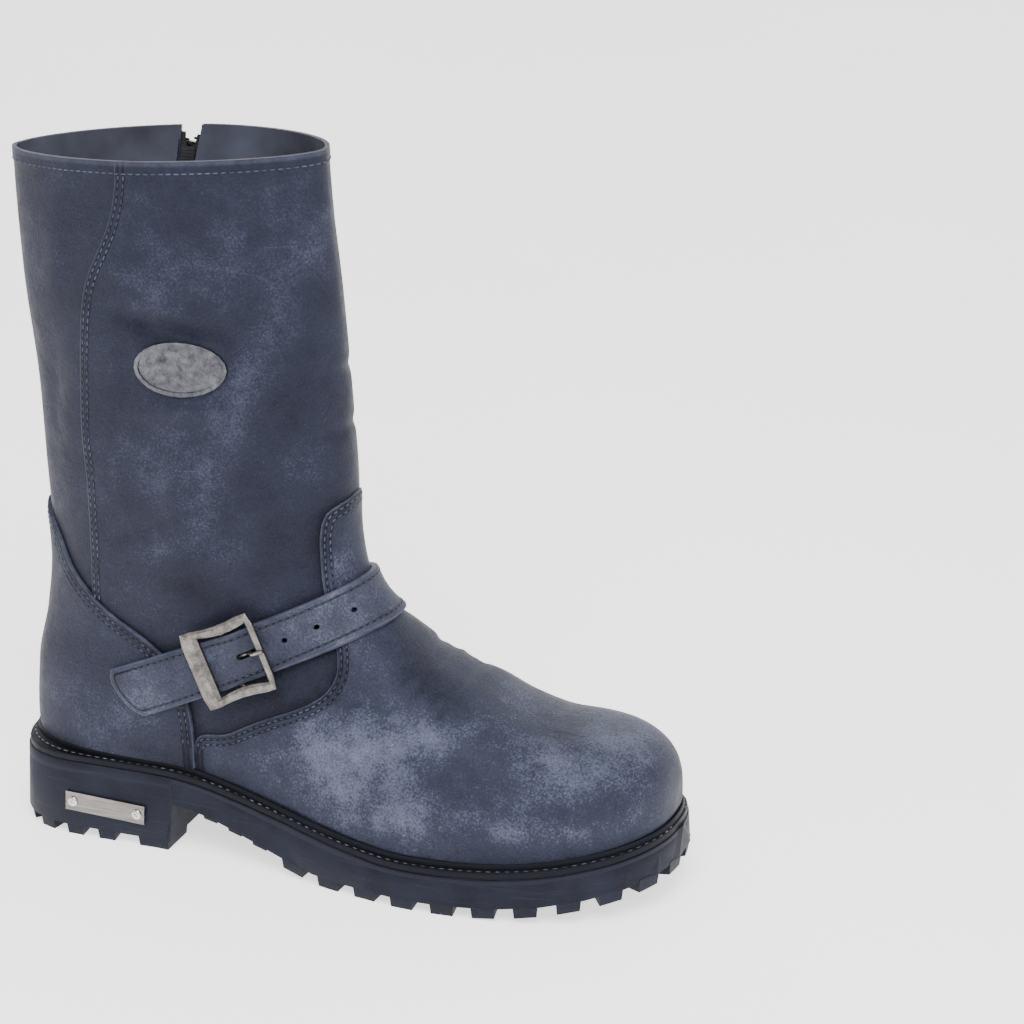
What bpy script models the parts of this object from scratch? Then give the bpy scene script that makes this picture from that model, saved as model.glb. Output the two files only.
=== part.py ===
"""Right engineer boot: lugged sole with heel, welt, hollow leather upper, strap, buckle and side zip.

Metres. X runs to the toe, Y to the inner side, Z up. The origin is the middle of the heel's ground face.
The upper's skin is where a field is zero. The field blends a foot form, made of sections across the
length, with a shaft form, made of sections across the height. Walls and overlays are cut between
copies of that skin, each moved out or in by a distance.
"""

import math

import bmesh
import bpy
import numpy as np

# Driving sizes
LENGTH = 0.315
BALL_WIDTH = 0.114
HEEL_LENGTH = 0.085
HEEL_HEIGHT = 0.0365
FOREFOOT_HEIGHT = 0.018
TOE_SPRING = 0.015
INSTEP = 0.0938
HEIGHT = 0.321
WALL = 0.0022
LEDGE = 0.0065
GAP = 0.0003

# Sole
LUG = 0.005
LUG_WIDTH = 0.011
LUG_PITCH = 0.019
LUG_REACH = 0.020
LUG_TAPER = 0.0009
LUG_STEP = 0.0004
WAIST_LUG = 0.0025
HEEL_FRONT_LUG = 0.0155
HEEL_LUG_WIDTH = 0.0090
HEEL_LUG_PITCH = 0.0163
HEEL_LUG_REACH = 0.0140
FOREFOOT_FROM = 0.47
WAIST_HEIGHT = 0.019
SIDE_FLARE = 0.0016
WELT_THICK = 0.0030
WELT_UNDER = 0.011
RIB_HEIGHT = 0.0026
RIB_WIDTH = 0.0019
RIB_CLEAR = 0.0006
WELT_IN = 0.0004
INSOLE_THICK = 0.0030

# Overlays on the skin
VAMP_STEP = 0.0011
COUNTER_THICK = 0.0017
STRAP_WIDTH = 0.0240
STRAP_THICK = 0.0024
STRAP_SLOPE = 0.445
STRAP_ARCH = 0.0022
STRAP_LOOSE = 0.0010
STRAP_CLIMB = 0.012
STRAP_CLIMB_END = 0.004
STRAP_ARCH_REACH = 0.0065
HOLE_RADIUS = 0.0016
HOLE_PITCH = 0.0145

# Buckle
BUCKLE_LENGTH = 0.0355
BUCKLE_HEIGHT = 0.0385
BUCKLE_BACK_BAR = 0.0082
BUCKLE_FRONT_BAR = 0.0030
BUCKLE_SIDE_BAR = 0.0050
BUCKLE_THICK = 0.0026
BUCKLE_WAIST = 0.0022
BUCKLE_ROD = 0.0010
BUCKLE_LOBE = 0.0011
PRONG_HOLE = 0.0108
PRONG_RADIUS = 0.0009
PRONG_SLOT = 0.0100
PRONG_OVER = 0.0008

# Zip
ZIP_SLOT = 0.0075
ZIP_TAPE = 0.0013
ZIP_CHAIN = 0.0045
CHAIN_THICK = 0.0011
SLIDER_DROP = 0.0185
SLIDER_LENGTH = 0.0105
SLIDER_WIDTH = 0.0080
SLIDER_THICK = 0.0030
PIN_RADIUS = 0.0007
EYE_RADIUS = 0.0019
EYE_WIDTH = 0.0040
EAR_THICK = 0.0009
EAR_LENGTH = 0.0030
TAB_LENGTH = 0.0225
TAB_WIDTH = 0.0065
TAB_THICK = 0.0013
TAB_NECK = 0.0038
TAB_CORNER = 0.0020
TAB_HOLE = 0.0014
TAB_HOLE_UP = 0.0050
STOP_UP = 0.0034
STOP_WIDTH = 0.0056
STOP_TALL = 0.0022
STOP_THICK = 0.0016

# Badge and heel plate
BADGE_LENGTH = 0.042
BADGE_HEIGHT = 0.024
BADGE_THICK = 0.0014
BADGE_RIM = 0.0018
PLATE_LENGTH = 0.0400
PLATE_HEIGHT = 0.0090
PLATE_THICK = 0.0010
SCREW_RADIUS = 0.0023
SCREW_HEIGHT = 0.0009

BACK = -HEEL_LENGTH / 2
SHAFT_HEIGHT = HEIGHT - HEEL_HEIGHT
AROUND = 36
FAR = 0.12
EDGE_TURN = 0.026

# Sole outline: station along the length, outer and inner half widths as shares of the ball width
OUTLINE = (
    # station, outer, inner
    (0.00, 0.372, 0.372),
    (0.13, 0.374, 0.374),
    (0.26, 0.372, 0.360),
    (0.43, 0.410, 0.340),
    (0.55, 0.465, 0.410),
    (0.66, 0.505, 0.475),
    (0.74, 0.500, 0.492),
    (1.00, 0.500, 0.492),
)
HEEL_ROUND_TO = 0.13
TOE_ROUND_FROM = 0.70
HEEL_SQUARE = 2.8
TOE_SQUARE = 2.35
TOE_TURN = 0.026

# Foot form: station, ridge above the sole as a share of the instep, squareness of side and of top
FOOT = (
    # station, ridge, side, top
    (0.00, 1.073, 2.2, 2.0),
    (0.45, 1.040, 2.2, 2.0),
    (0.56, 1.000, 2.2, 1.9),
    (0.60, 0.925, 2.3, 1.9),
    (0.625, 0.855, 2.4, 1.9),
    (0.665, 0.782, 2.5, 2.0),
    (0.70, 0.734, 2.6, 2.1),
    (0.74, 0.648, 2.8, 2.2),
    (0.78, 0.588, 3.0, 2.3),
    (0.815, 0.550, 3.4, 2.5),
    (0.85, 0.540, 3.8, 2.7),
    (0.90, 0.524, 4.2, 2.9),
    (1.00, 0.460, 4.6, 3.1),
)
WIDEST_ABOVE_SOLE = 0.010
FEATHER_TUCK = 0.05

# Shaft form: height above the heel seat as a share of the shaft's height, back and front as shares
# of the length, outer and inner half widths as shares of the ball width, squareness
SHAFT = (
    # height, back, front, outer, inner, square
    (-0.023, 0.0200, 0.349, 0.302, 0.302, 2.40),
    (0.048, 0.0165, 0.381, 0.320, 0.320, 2.40),
    (0.136, 0.0205, 0.438, 0.318, 0.318, 2.35),
    (0.224, 0.0370, 0.483, 0.305, 0.305, 2.25),
    (0.316, 0.0465, 0.506, 0.314, 0.316, 2.15),
    (0.390, 0.0430, 0.513, 0.325, 0.338, 2.05),
    (0.474, 0.0390, 0.514, 0.330, 0.352, 2.00),
    (0.598, 0.0345, 0.508, 0.325, 0.370, 1.95),
    (0.778, 0.0170, 0.497, 0.305, 0.388, 1.85),
    (0.929, 0.0105, 0.484, 0.282, 0.400, 1.78),
    (1.053, 0.0095, 0.479, 0.275, 0.405, 1.75),
)
FIELD_SCALE = 0.045
BLEND_SIDE = 0.006
BLEND_FRONT = 0.015
BLEND_WIDTH = 0.026

# Rings of the skin's net: height share, back height as a share of the shaft's height above the heel
# seat, front point as shares of the length and of the full height, how late the ring climbs
RINGS = (
    # v, back, front_x, front_z, late
    (0.00, 0.000, 0.987, 0.103, 1.0),
    (0.06, 0.030, 0.987, 0.150, 1.05),
    (0.12, 0.058, 0.978, 0.187, 1.2),
    (0.16, 0.083, 0.952, 0.212, 1.4),
    (0.22, 0.111, 0.889, 0.222, 1.65),
    (0.28, 0.143, 0.813, 0.234, 1.75),
    (0.34, 0.178, 0.740, 0.263, 1.8),
    (0.40, 0.217, 0.663, 0.296, 1.55),
    (0.46, 0.263, 0.594, 0.346, 1.25),
    (0.53, 0.326, 0.540, 0.424, 1.0),
    (0.62, 0.436, 0.521, 0.530, 1.0),
    (0.80, 0.683, 0.505, 0.748, 1.0),
    (1.00, 0.968, 0.486, 1.000, 1.0),
)
ROWS = (0.0, 0.03, 0.07, 0.11, 0.15, 0.19, 0.23, 0.27, 0.31, 0.35, 0.39, 0.42, 0.45, 0.48, 0.51,
        0.55, 0.60, 0.66, 0.73, 0.80, 0.87, 0.94, 1.0)

# Where the rays that find each ring start: place and reach as shares of the length, width share
FAN = (
    # v, start, reach, width
    (0.00, 0.492, 0.476, 0.421),
    (0.16, 0.476, 0.444, 0.404),
    (0.28, 0.413, 0.381, 0.386),
    (0.46, 0.311, 0.270, 0.351),
    (0.62, 0.279, 0.238, 0.351),
    (1.00, 0.251, 0.238, 0.380),
)

# Side outlines of the panels: outer x and z, inner x and z. x is a share of the length, z a share
# of the full height. The same row is the same point of the edge on both sides of the boot.
VAMP_EDGE = (
    # outer_x, outer_z, inner_x, inner_z
    (0.309, 0.070, 0.226, 0.070),
    (0.309, 0.171, 0.226, 0.171),
    (0.357, 0.189, 0.310, 0.184),
    (0.416, 0.220, 0.405, 0.216),
    (0.463, 0.241, 0.460, 0.240),
    (0.501, 0.263, 0.501, 0.263),
    (0.520, 0.285, 0.520, 0.285),
    (0.521, 0.311, 0.521, 0.311),
    (0.502, 0.353, 0.502, 0.353),
    (0.488, 0.401, 0.488, 0.401),
    (0.484, 0.440, 0.484, 0.440),
    (0.484, 0.480, 0.484, 0.480),
    (0.488, 0.503, 0.488, 0.503),
    (0.497, 0.515, 0.497, 0.515),
    (0.512, 0.525, 0.512, 0.525),
    (0.560, 0.550, 0.560, 0.550),
)
COUNTER_EDGE = (
    # outer_x, outer_z, inner_x, inner_z
    (0.000, 0.480, 0.000, 0.480),
    (0.030, 0.472, 0.030, 0.470),
    (0.056, 0.460, 0.054, 0.445),
    (0.084, 0.433, 0.084, 0.407),
    (0.106, 0.397, 0.118, 0.370),
    (0.137, 0.369, 0.150, 0.335),
    (0.181, 0.340, 0.177, 0.305),
    (0.222, 0.319, 0.196, 0.268),
    (0.262, 0.292, 0.208, 0.235),
    (0.290, 0.255, 0.216, 0.200),
    (0.303, 0.210, 0.222, 0.170),
    (0.307, 0.165, 0.226, 0.130),
    (0.308, 0.070, 0.226, 0.070),
)
ZIP_PATH = (
    # x, z
    (0.222, 1.040),
    (0.205, 0.930),
    (0.178, 0.855),
    (0.154, 0.760),
    (0.149, 0.670),
    (0.148, 0.590),
    (0.150, 0.500),
    (0.150, 0.430),
    (0.149, 0.375),
)
BADGE_AT = (0.308, 0.713)
BADGE_TILT = 2.0
PLATE_AT = (0.168, 0.053)
PLATE_TILT = 2.0
BUCKLE_AT = 0.368
STRAP_AT = (0.565, 0.388)
STRAP_TIP = (0.198, 0.243)
STRAP_ROOT = (0.214, 0.240)
TIP_ROUND = 0.004
TIP_SLANT = 0.016
ROOT_SLANT = 0.010


def column(table, number, at):
    """Smooth reading of one column, through the table's rows, without overshoot."""
    xs = np.array([row[0] for row in table], float)
    ys = np.array([row[number] for row in table], float)
    at = np.clip(np.asarray(at, float), xs[0], xs[-1])
    step = np.diff(xs)
    rise = np.diff(ys) / step
    slope = np.zeros(len(xs))
    slope[0] = rise[0]
    slope[-1] = rise[-1]
    for i in range(1, len(xs) - 1):
        if rise[i - 1] * rise[i] > 0:
            before = 2 * step[i] + step[i - 1]
            after = step[i] + 2 * step[i - 1]
            slope[i] = (before + after) / (before / rise[i - 1] + after / rise[i])
    i = np.clip(np.searchsorted(xs, at, side="right") - 1, 0, len(xs) - 2)
    t = (at - xs[i]) / step[i]
    start = (1 + 2 * t) * (1 - t) ** 2 * ys[i] + t * (1 - t) ** 2 * step[i] * slope[i]
    end = t * t * (3 - 2 * t) * ys[i + 1] + t * t * (t - 1) * step[i] * slope[i + 1]
    return start + end


def ease(t):
    t = np.clip(t, 0, 1)
    return t * t * (3 - 2 * t)


def station(x):
    return (np.asarray(x, float) - BACK) / LENGTH


def sole_top(x):
    """Height of the rubber's upper edge."""
    s = station(x)
    drop = (FOREFOOT_HEIGHT - HEEL_HEIGHT) * ease((s - 0.24) / 0.40)
    return HEEL_HEIGHT + drop + TOE_SPRING * np.clip((s - 0.68) / 0.32, 0, 1) ** 1.8


def welt_top(x):
    return sole_top(x) + GAP + WELT_THICK


def half_width(s, inner):
    return column(OUTLINE, 2 if inner else 1, s) * BALL_WIDTH


def centre_line(x):
    """The toe turns to the inner side."""
    return TOE_TURN * BALL_WIDTH * np.clip((station(x) - 0.5) / 0.5, 0, 1) ** 2


def plan_share(x, y, inset):
    """1 on the sole's outline drawn in by the inset, less inside it."""
    s = station(x)
    off = y - centre_line(x)
    wide = np.where(off < 0, half_width(s, False), half_width(s, True)) - inset
    toe = np.clip((s - TOE_ROUND_FROM) * LENGTH / ((1 - TOE_ROUND_FROM) * LENGTH - inset), 0, None)
    heel = np.clip((HEEL_ROUND_TO - s) * LENGTH / (HEEL_ROUND_TO * LENGTH - inset), 0, None)
    square = np.where(toe > 0, TOE_SQUARE, HEEL_SQUARE)
    return (np.maximum(toe, heel) ** square + (np.abs(off) / wide) ** square) ** (1 / square)


def foot_field(x, y, z):
    s = np.clip(station(x), 0, 1)
    low = sole_top(x)
    ridge = low + column(FOOT, 1, s) * INSTEP
    side = column(FOOT, 2, s)
    top = column(FOOT, 3, s)
    widest = low + WIDEST_ABOVE_SOLE
    off = y - centre_line(x)
    wide = np.where(off < 0, half_width(s, False), half_width(s, True)) - LEDGE
    toe_length = (1 - TOE_ROUND_FROM) * LENGTH - LEDGE * 0.8
    toe = np.clip((station(x) - TOE_ROUND_FROM) * LENGTH / toe_length, 0, None)
    plan = (toe ** TOE_SQUARE + (np.abs(off) / wide) ** TOE_SQUARE) ** (1 / TOE_SQUARE)
    above = np.clip((z - widest) / (ridge - widest), 0, None)
    below = np.clip((widest - z) / WIDEST_ABOVE_SOLE, 0, None)
    behind = np.clip((0.30 - station(x)) / 0.22, 0, None)
    total = (plan * (1 + FEATHER_TUCK * below ** 2)) ** side + above ** top + behind ** 3
    return (total ** (2 / (side + top)) - 1) * FIELD_SCALE


def shaft_field(x, y, z):
    share = (z - HEEL_HEIGHT) / SHAFT_HEIGHT
    back = BACK + column(SHAFT, 1, share) * LENGTH
    front = BACK + column(SHAFT, 2, share) * LENGTH
    outer = column(SHAFT, 3, share) * BALL_WIDTH
    inner = column(SHAFT, 4, share) * BALL_WIDTH
    square = column(SHAFT, 5, share)
    wide = np.where(y < 0, outer, inner)
    along = np.abs(x - (back + front) / 2) / ((front - back) / 2)
    return ((along ** square + (np.abs(y) / wide) ** square) ** (1 / square) - 1) * FIELD_SCALE


def field(x, y, z):
    """Under zero inside the boot's skin."""
    foot = foot_field(x, y, z)
    shaft = shaft_field(x, y, z)
    over_ridge = np.exp(-(y / BLEND_WIDTH) ** 2) * ease((station(x) - 0.26) / 0.16)
    blend = BLEND_SIDE + BLEND_FRONT * over_ridge
    share = np.clip(0.5 + 0.5 * (shaft - foot) / blend, 0, 1)
    return shaft * (1 - share) + foot * share - blend * share * (1 - share)


def normals(points):
    """Outward directions of the skin at the points."""
    step = 0.0004
    slopes = []
    for axis in range(3):
        move = np.zeros(3)
        move[axis] = step
        ahead = points + move
        behind = points - move
        slopes.append(field(*np.moveaxis(ahead, -1, 0)) - field(*np.moveaxis(behind, -1, 0)))
    slopes = np.stack(slopes, -1)
    return slopes / np.linalg.norm(slopes, axis=-1, keepdims=True)


def ring_height(v, x):
    """Height over x of the net's ring v, which follows the sole low down."""
    back = HEEL_HEIGHT + column(RINGS, 1, v) * SHAFT_HEIGHT
    front_x = BACK + column(RINGS, 2, v) * LENGTH
    front = column(RINGS, 3, v) * HEIGHT
    share = np.clip((x - BACK) / (front_x - BACK), 0, 1.6)
    height = back + (front - back) * share ** column(RINGS, 4, v)
    chord = HEEL_HEIGHT + (RINGS[0][3] * HEIGHT - HEEL_HEIGHT) * share
    return height + (1 - ease(v / 0.30)) * (sole_top(x) - chord)


def cast(angle, start_x, reach, width, height_over):
    """Skin points along rays in plan, at a height that depends on x."""
    run_x = reach * np.cos(angle)
    run_y = width * np.sin(angle)
    low = np.full(np.shape(run_x), 0.2)
    high = np.full(np.shape(run_x), 1.9)
    for _ in range(30):
        middle = (low + high) / 2
        x = start_x + middle * run_x
        inside = field(x, middle * run_y, height_over(x)) < 0
        low = np.where(inside, middle, low)
        high = np.where(inside, high, middle)
    x = start_x + low * run_x
    return np.stack([x, low * run_y, height_over(x)], -1)


def net():
    """Grid of skin points and directions, a row for each ring, with one row past each end."""
    v = np.array(ROWS)[:, None]
    angle = np.linspace(0, 2 * math.pi, AROUND, endpoint=False)[None, :]
    v, angle = np.broadcast_arrays(v, angle)
    start = BACK + column(FAN, 1, v) * LENGTH
    reach = column(FAN, 2, v) * LENGTH
    width = column(FAN, 3, v) * BALL_WIDTH
    points = cast(angle, start, reach, width, lambda x: ring_height(v, x))
    outward = normals(points)
    below = points[0] - np.array([0, 0, 0.012])
    above = points[-1] + (points[-1] - points[-2]) * 0.6
    points = np.concatenate([below[None], points, above[None]])
    outward = np.concatenate([outward[:1], outward, outward[-1:]])
    return points, outward


def side_point(x, z, inner, lift):
    """Skin point of one side at x and z, moved out by the lift."""
    sign = 1.0 if inner else -1.0
    low = 0.0
    high = 0.09
    for _ in range(40):
        middle = (low + high) / 2
        if field(np.float64(x), np.float64(sign * middle), np.float64(z)) < 0:
            low = middle
        else:
            high = middle
    point = np.array([x, sign * low, z])
    return point + normals(point) * lift


def make_material(name, colour, roughness, metallic):
    material = bpy.data.materials.new(name)
    material.use_nodes = True
    shader = material.node_tree.nodes["Principled BSDF"]
    shader.inputs["Base Color"].default_value = (*colour, 1.0)
    shader.inputs["Roughness"].default_value = roughness
    shader.inputs["Metallic"].default_value = metallic
    return material


def add_body(name, vertices, faces):
    """Object of triangles from vertices and faces, turned outward."""
    mesh = bpy.data.meshes.new(name)
    mesh.from_pydata([tuple(float(c) for c in v) for v in vertices], [], faces)
    shape = bmesh.new()
    shape.from_mesh(mesh)
    bmesh.ops.remove_doubles(shape, verts=shape.verts, dist=1e-6)
    bmesh.ops.recalc_face_normals(shape, faces=shape.faces)
    bmesh.ops.triangulate(shape, faces=shape.faces)
    if shape.calc_volume(signed=True) < 0:
        bmesh.ops.reverse_faces(shape, faces=shape.faces)
    shape.to_mesh(mesh)
    shape.free()
    body = bpy.data.objects.new(name, mesh)
    bpy.context.scene.collection.objects.link(body)
    return body


def loft(name, rings):
    """Closed body through rings of as many points each."""
    count = len(rings[0])
    vertices = [p for ring in rings for p in ring]
    faces = []
    for i in range(len(rings) - 1):
        for j in range(count):
            k = (j + 1) % count
            faces.append((i * count + j, i * count + k, (i + 1) * count + k, (i + 1) * count + j))
    faces.append(tuple(range(count)))
    faces.append(tuple((len(rings) - 1) * count + j for j in reversed(range(count))))
    return add_body(name, vertices, faces)


def closed_loft(name, rings):
    """Ring-shaped body: the last section joins the first."""
    count = len(rings[0])
    vertices = [p for ring in rings for p in ring]
    faces = []
    for i in range(len(rings)):
        n = (i + 1) % len(rings)
        for j in range(count):
            k = (j + 1) % count
            faces.append((i * count + j, i * count + k, n * count + k, n * count + j))
    return add_body(name, vertices, faces)


def box(name, size, place, turn=None):
    """Box of a size, with its middle at the place, turned by a 3 by 3 frame."""
    frame = np.eye(3) if turn is None else turn
    corners = []
    for sz in (-0.5, 0.5):
        ring = []
        for sx, sy in ((-0.5, -0.5), (0.5, -0.5), (0.5, 0.5), (-0.5, 0.5)):
            local = np.array([sx * size[0], sy * size[1], sz * size[2]])
            ring.append(np.asarray(place) + frame @ local)
        corners.append(ring)
    return loft(name, corners)


def rod(name, start, end, radius, sides):
    """Round bar between two points."""
    start = np.asarray(start, float)
    end = np.asarray(end, float)
    along = (end - start) / np.linalg.norm(end - start)
    across = np.cross(along, [0.0, 0.0, 1.0])
    if np.linalg.norm(across) < 0.1:
        across = np.cross(along, [0.0, 1.0, 0.0])
    across = across / np.linalg.norm(across)
    up = np.cross(across, along)
    rings = []
    for centre in (start, end):
        ring = []
        for k in range(sides):
            turn = 2 * math.pi * (k + 0.5) / sides
            ring.append(centre + radius * (math.cos(turn) * across + math.sin(turn) * up))
        rings.append(ring)
    return loft(name, rings)


def tube(name, path, radius, sides, side_axis):
    """Round bar along a bent path that lies square to the side axis."""
    path = [np.asarray(p, float) for p in path]
    side_axis = np.asarray(side_axis, float)
    rings = []
    for i, centre in enumerate(path):
        before = path[max(i - 1, 0)]
        after = path[min(i + 1, len(path) - 1)]
        along = (after - before) / np.linalg.norm(after - before)
        up = np.cross(side_axis, along)
        up = up / np.linalg.norm(up)
        ring = []
        for k in range(sides):
            turn = 2 * math.pi * (k + 0.5) / sides
            ring.append(centre + radius * (math.cos(turn) * side_axis + math.sin(turn) * up))
        rings.append(ring)
    return loft(name, rings)


def combine(body, tool, operation):
    """Boolean of two objects, kept in the first. The second goes."""
    modifier = body.modifiers.new("cut", "BOOLEAN")
    modifier.operation = operation
    modifier.solver = "EXACT"
    modifier.object = tool
    graph = bpy.context.evaluated_depsgraph_get()
    mesh = bpy.data.meshes.new_from_object(body.evaluated_get(graph))
    old = body.data
    body.modifiers.clear()
    body.data = mesh
    bpy.data.meshes.remove(old)
    bpy.data.objects.remove(tool)
    clean(body)
    return body


def clean(body):
    """Weld points closer than the weld distance and drop faces without area."""
    shape = bmesh.new()
    shape.from_mesh(body.data)
    bmesh.ops.remove_doubles(shape, verts=shape.verts, dist=2e-6)
    bmesh.ops.dissolve_degenerate(shape, edges=shape.edges, dist=2e-6)
    shape.to_mesh(body.data)
    shape.free()


def union(body, tool):
    return combine(body, tool, "UNION")


def cut(body, tool):
    return combine(body, tool, "DIFFERENCE")


def keep(body, tool):
    return combine(body, tool, "INTERSECT")


def finish(body, material, smooth_angle=40):
    """Give the body its material and smooth its round faces."""
    body.data.materials.clear()
    body.data.materials.append(material)
    body.data.shade_smooth()
    body.data.set_sharp_from_angle(angle=math.radians(smooth_angle))
    return body


def form(name, grid, lift, first=0, last=None):
    """Closed body of the skin moved out by the lift, from one row of the net to another."""
    points, outward = grid
    last = len(points) if last is None else last
    moved = points + outward * lift
    return loft(name, [list(ring) for ring in moved[first:last]])


def patch(name, grid, inside, outside, outline):
    """Body between two lifts of the skin, within the outline of a cutter."""
    body = form(name, grid, outside, 0, len(grid[0]) - 1)
    keep(body, outline)
    void = form(name + "_void", grid, inside)
    return cut(body, void)


def side_prism(name, edge, close):
    """Cutter through the boot: the outer side's outline, the inner side's, and a slant between them."""
    rings = []
    for y, first in ((-FAR, 0), (-EDGE_TURN, 0), (EDGE_TURN, 2), (FAR, 2)):
        ring = [(BACK + row[first] * LENGTH, y, row[first + 1] * HEIGHT) for row in edge]
        rings.append(ring + [(x, y, z) for x, z in close])
    return loft(name, rings)


def under_floor(name, clearance):
    """Cutter that fills everything under the welt's upper face and the clearance."""
    stations = np.linspace(BACK - 0.03, BACK + LENGTH + 0.03, 49)
    rings = []
    for x in stations:
        top = welt_top(x) + clearance
        rings.append([(x, -FAR, -0.05), (x, FAR, -0.05), (x, FAR, top), (x, -FAR, top)])
    return loft(name, rings)


def zip_points():
    """Zip line on the inner side, as x and z in metres."""
    return [(BACK + x * LENGTH, z * HEIGHT) for x, z in ZIP_PATH]


def zip_at(height):
    """Place along X of the zip line at a height."""
    line = zip_points()[::-1]
    return float(np.interp(height, [p[1] for p in line], [p[0] for p in line]))


def zip_prism(name, width, top, foot):
    """Cutter of a width along the zip line between two heights, through the inner side only."""
    line = [p for p in zip_points() if foot < p[1] < top]
    line = [(zip_at(top), top)] + line + [(zip_at(foot), foot)]
    left = []
    right = []
    for i, point in enumerate(line):
        before = np.array(line[max(i - 1, 0)])
        after = np.array(line[min(i + 1, len(line) - 1)])
        along = (after - before) / np.linalg.norm(after - before)
        across = np.array([-along[1], along[0]])
        left.append(np.array(point) + across * width / 2)
        right.append(np.array(point) - across * width / 2)
    outline = left + right[::-1]
    near = [(p[0], 0.012, p[1]) for p in outline]
    far = [(p[0], FAR, p[1]) for p in outline]
    return loft(name, [near, far])


def strap_height(x, across):
    """Height over x of the strap's line at a place across its width."""
    centre = STRAP_AT[1] * HEIGHT + STRAP_SLOPE * (x - BACK - STRAP_AT[0] * LENGTH)
    return centre + across / math.cos(math.atan(STRAP_SLOPE))


def strap_skin(angle, across):
    """Skin point under the strap, at an angle round the ankle and a place across the strap."""
    start = BACK + 0.311 * LENGTH
    angle = np.asarray(angle, float)
    across = np.asarray(across, float)
    return cast(angle, start, 0.270 * LENGTH, 0.351 * BALL_WIDTH, lambda x: strap_height(x, across))


def strap_angle(x, across, inner):
    """Angle where the strap's line passes x, on one side."""
    sign = 1.0 if inner else -1.0
    angles = np.linspace(0.05, 0.9, 60) * math.pi
    places = strap_skin(sign * angles, across)[:, 0]
    return sign * float(np.interp(-x, -places, angles))


def strap_lift(x, outer):
    """How far the strap's inner face stands off the skin."""
    base = VAMP_STEP + STRAP_LOOSE
    over_counter = GAP * 3 + COUNTER_THICK + GAP
    if not outer:
        return base
    edge = BACK + COUNTER_EDGE[-1][0] * LENGTH
    share = ease((edge + STRAP_CLIMB_END + STRAP_CLIMB - x) / STRAP_CLIMB)
    away = (x - BACK - BUCKLE_AT * LENGTH) / STRAP_ARCH_REACH
    return base + (over_counter - base) * share + STRAP_ARCH * math.exp(-away ** 2)


def make_outsole(material):
    """Rubber unit: body with heel, waist and toe spring, then the lugs."""
    rings = []
    for x in sole_stations():
        rings.append(sole_section(x))
    body = loft("outsole", rings)
    for group in (perimeter_lugs(), centre_lugs(), waist_lugs()):
        union(body, group)
    return finish(body, material, 30)


def outline_half(x, inner, inset):
    """Distance of the sole's side from the X axis at x."""
    low = 0.0
    high = BALL_WIDTH
    sign = 1.0 if inner else -1.0
    for _ in range(40):
        middle = (low + high) / 2
        if plan_share(np.float64(x), np.float64(sign * middle), inset) < 1:
            low = middle
        else:
            high = middle
    return sign * low


def sole_bottom(x):
    """Height of the tread's ground line: heel, waist and forefoot."""
    s = station(x)
    waist = WAIST_HEIGHT * (1 - ease((x - BACK - HEEL_LENGTH) / (0.27 * LENGTH)))
    spring = TOE_SPRING * np.clip((s - 0.70) / 0.30, 0, 1) ** 1.7
    return np.where(x < BACK + HEEL_LENGTH + 0.001, 0.0, waist + spring)


def sole_stations():
    """Places along the length where the sole's body has a section."""
    ends = 1 - np.cos(np.linspace(0.10, math.pi / 2, 7))
    heel = [BACK + HEEL_ROUND_TO * LENGTH * float(e) for e in ends]
    breast = BACK + HEEL_LENGTH
    middle = [float(x) for x in np.linspace(heel[-1], breast, 4)[1:]]
    waist = [float(x) for x in np.linspace(breast + 0.002, BACK + TOE_ROUND_FROM * LENGTH, 14)]
    toe_room = (1 - TOE_ROUND_FROM) * LENGTH
    toe = [BACK + LENGTH - toe_room * float(e) for e in ends[::-1][1:]]
    return heel + middle + waist + toe


def sole_section(x):
    """Section of the sole's body: flared sides, flat top, root of the tread below."""
    low = float(sole_bottom(x)) + LUG
    high = float(sole_top(x))
    ring = []
    for z, inner in ((low, False), (low, True), (high, True), (high, False)):
        inset = SIDE_FLARE * (z - low) / (high - low)
        ring.append((x, outline_half(x, inner, inset), z))
    return ring


def perimeter():
    """Points round the sole's outline with their run length, from the back round the outer side."""
    count = 360
    turn = np.linspace(-math.pi, math.pi, count + 1)
    low = np.zeros(count + 1)
    high = np.full(count + 1, 1.6)
    start = BACK + LENGTH / 2
    for _ in range(40):
        middle = (low + high) / 2
        x = start + middle * LENGTH / 2 * np.cos(turn)
        y = middle * BALL_WIDTH / 2 * np.sin(turn)
        inside = plan_share(x, y, LUG_STEP) < 1
        low = np.where(inside, middle, low)
        high = np.where(inside, high, middle)
    x = start + low * LENGTH / 2 * np.cos(turn)
    points = np.stack([x, low * BALL_WIDTH / 2 * np.sin(turn)], -1)
    steps = np.linalg.norm(np.diff(points, axis=0), axis=1)
    run = np.concatenate([[0], np.cumsum(steps)])
    return points, run


def on_perimeter(points, run, at):
    at = at % run[-1]
    return np.array([np.interp(at, run, points[:, 0]), np.interp(at, run, points[:, 1])])


def along_perimeter(points, run, at):
    """Point and inward direction at a run length."""
    along = on_perimeter(points, run, at + 0.004) - on_perimeter(points, run, at - 0.004)
    along = along / np.linalg.norm(along)
    return on_perimeter(points, run, at), np.array([-along[1], along[0]])


def lug_prism(top, bottom, depth):
    """Tapered lug from its outline at the tread's root to its ground face."""
    low = [(p[0], p[1], float(sole_bottom(p[0])) + LUG - depth) for p in bottom]
    high = [(p[0], p[1], float(sole_bottom(p[0])) + LUG + 0.0012) for p in top]
    return low, high


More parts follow.
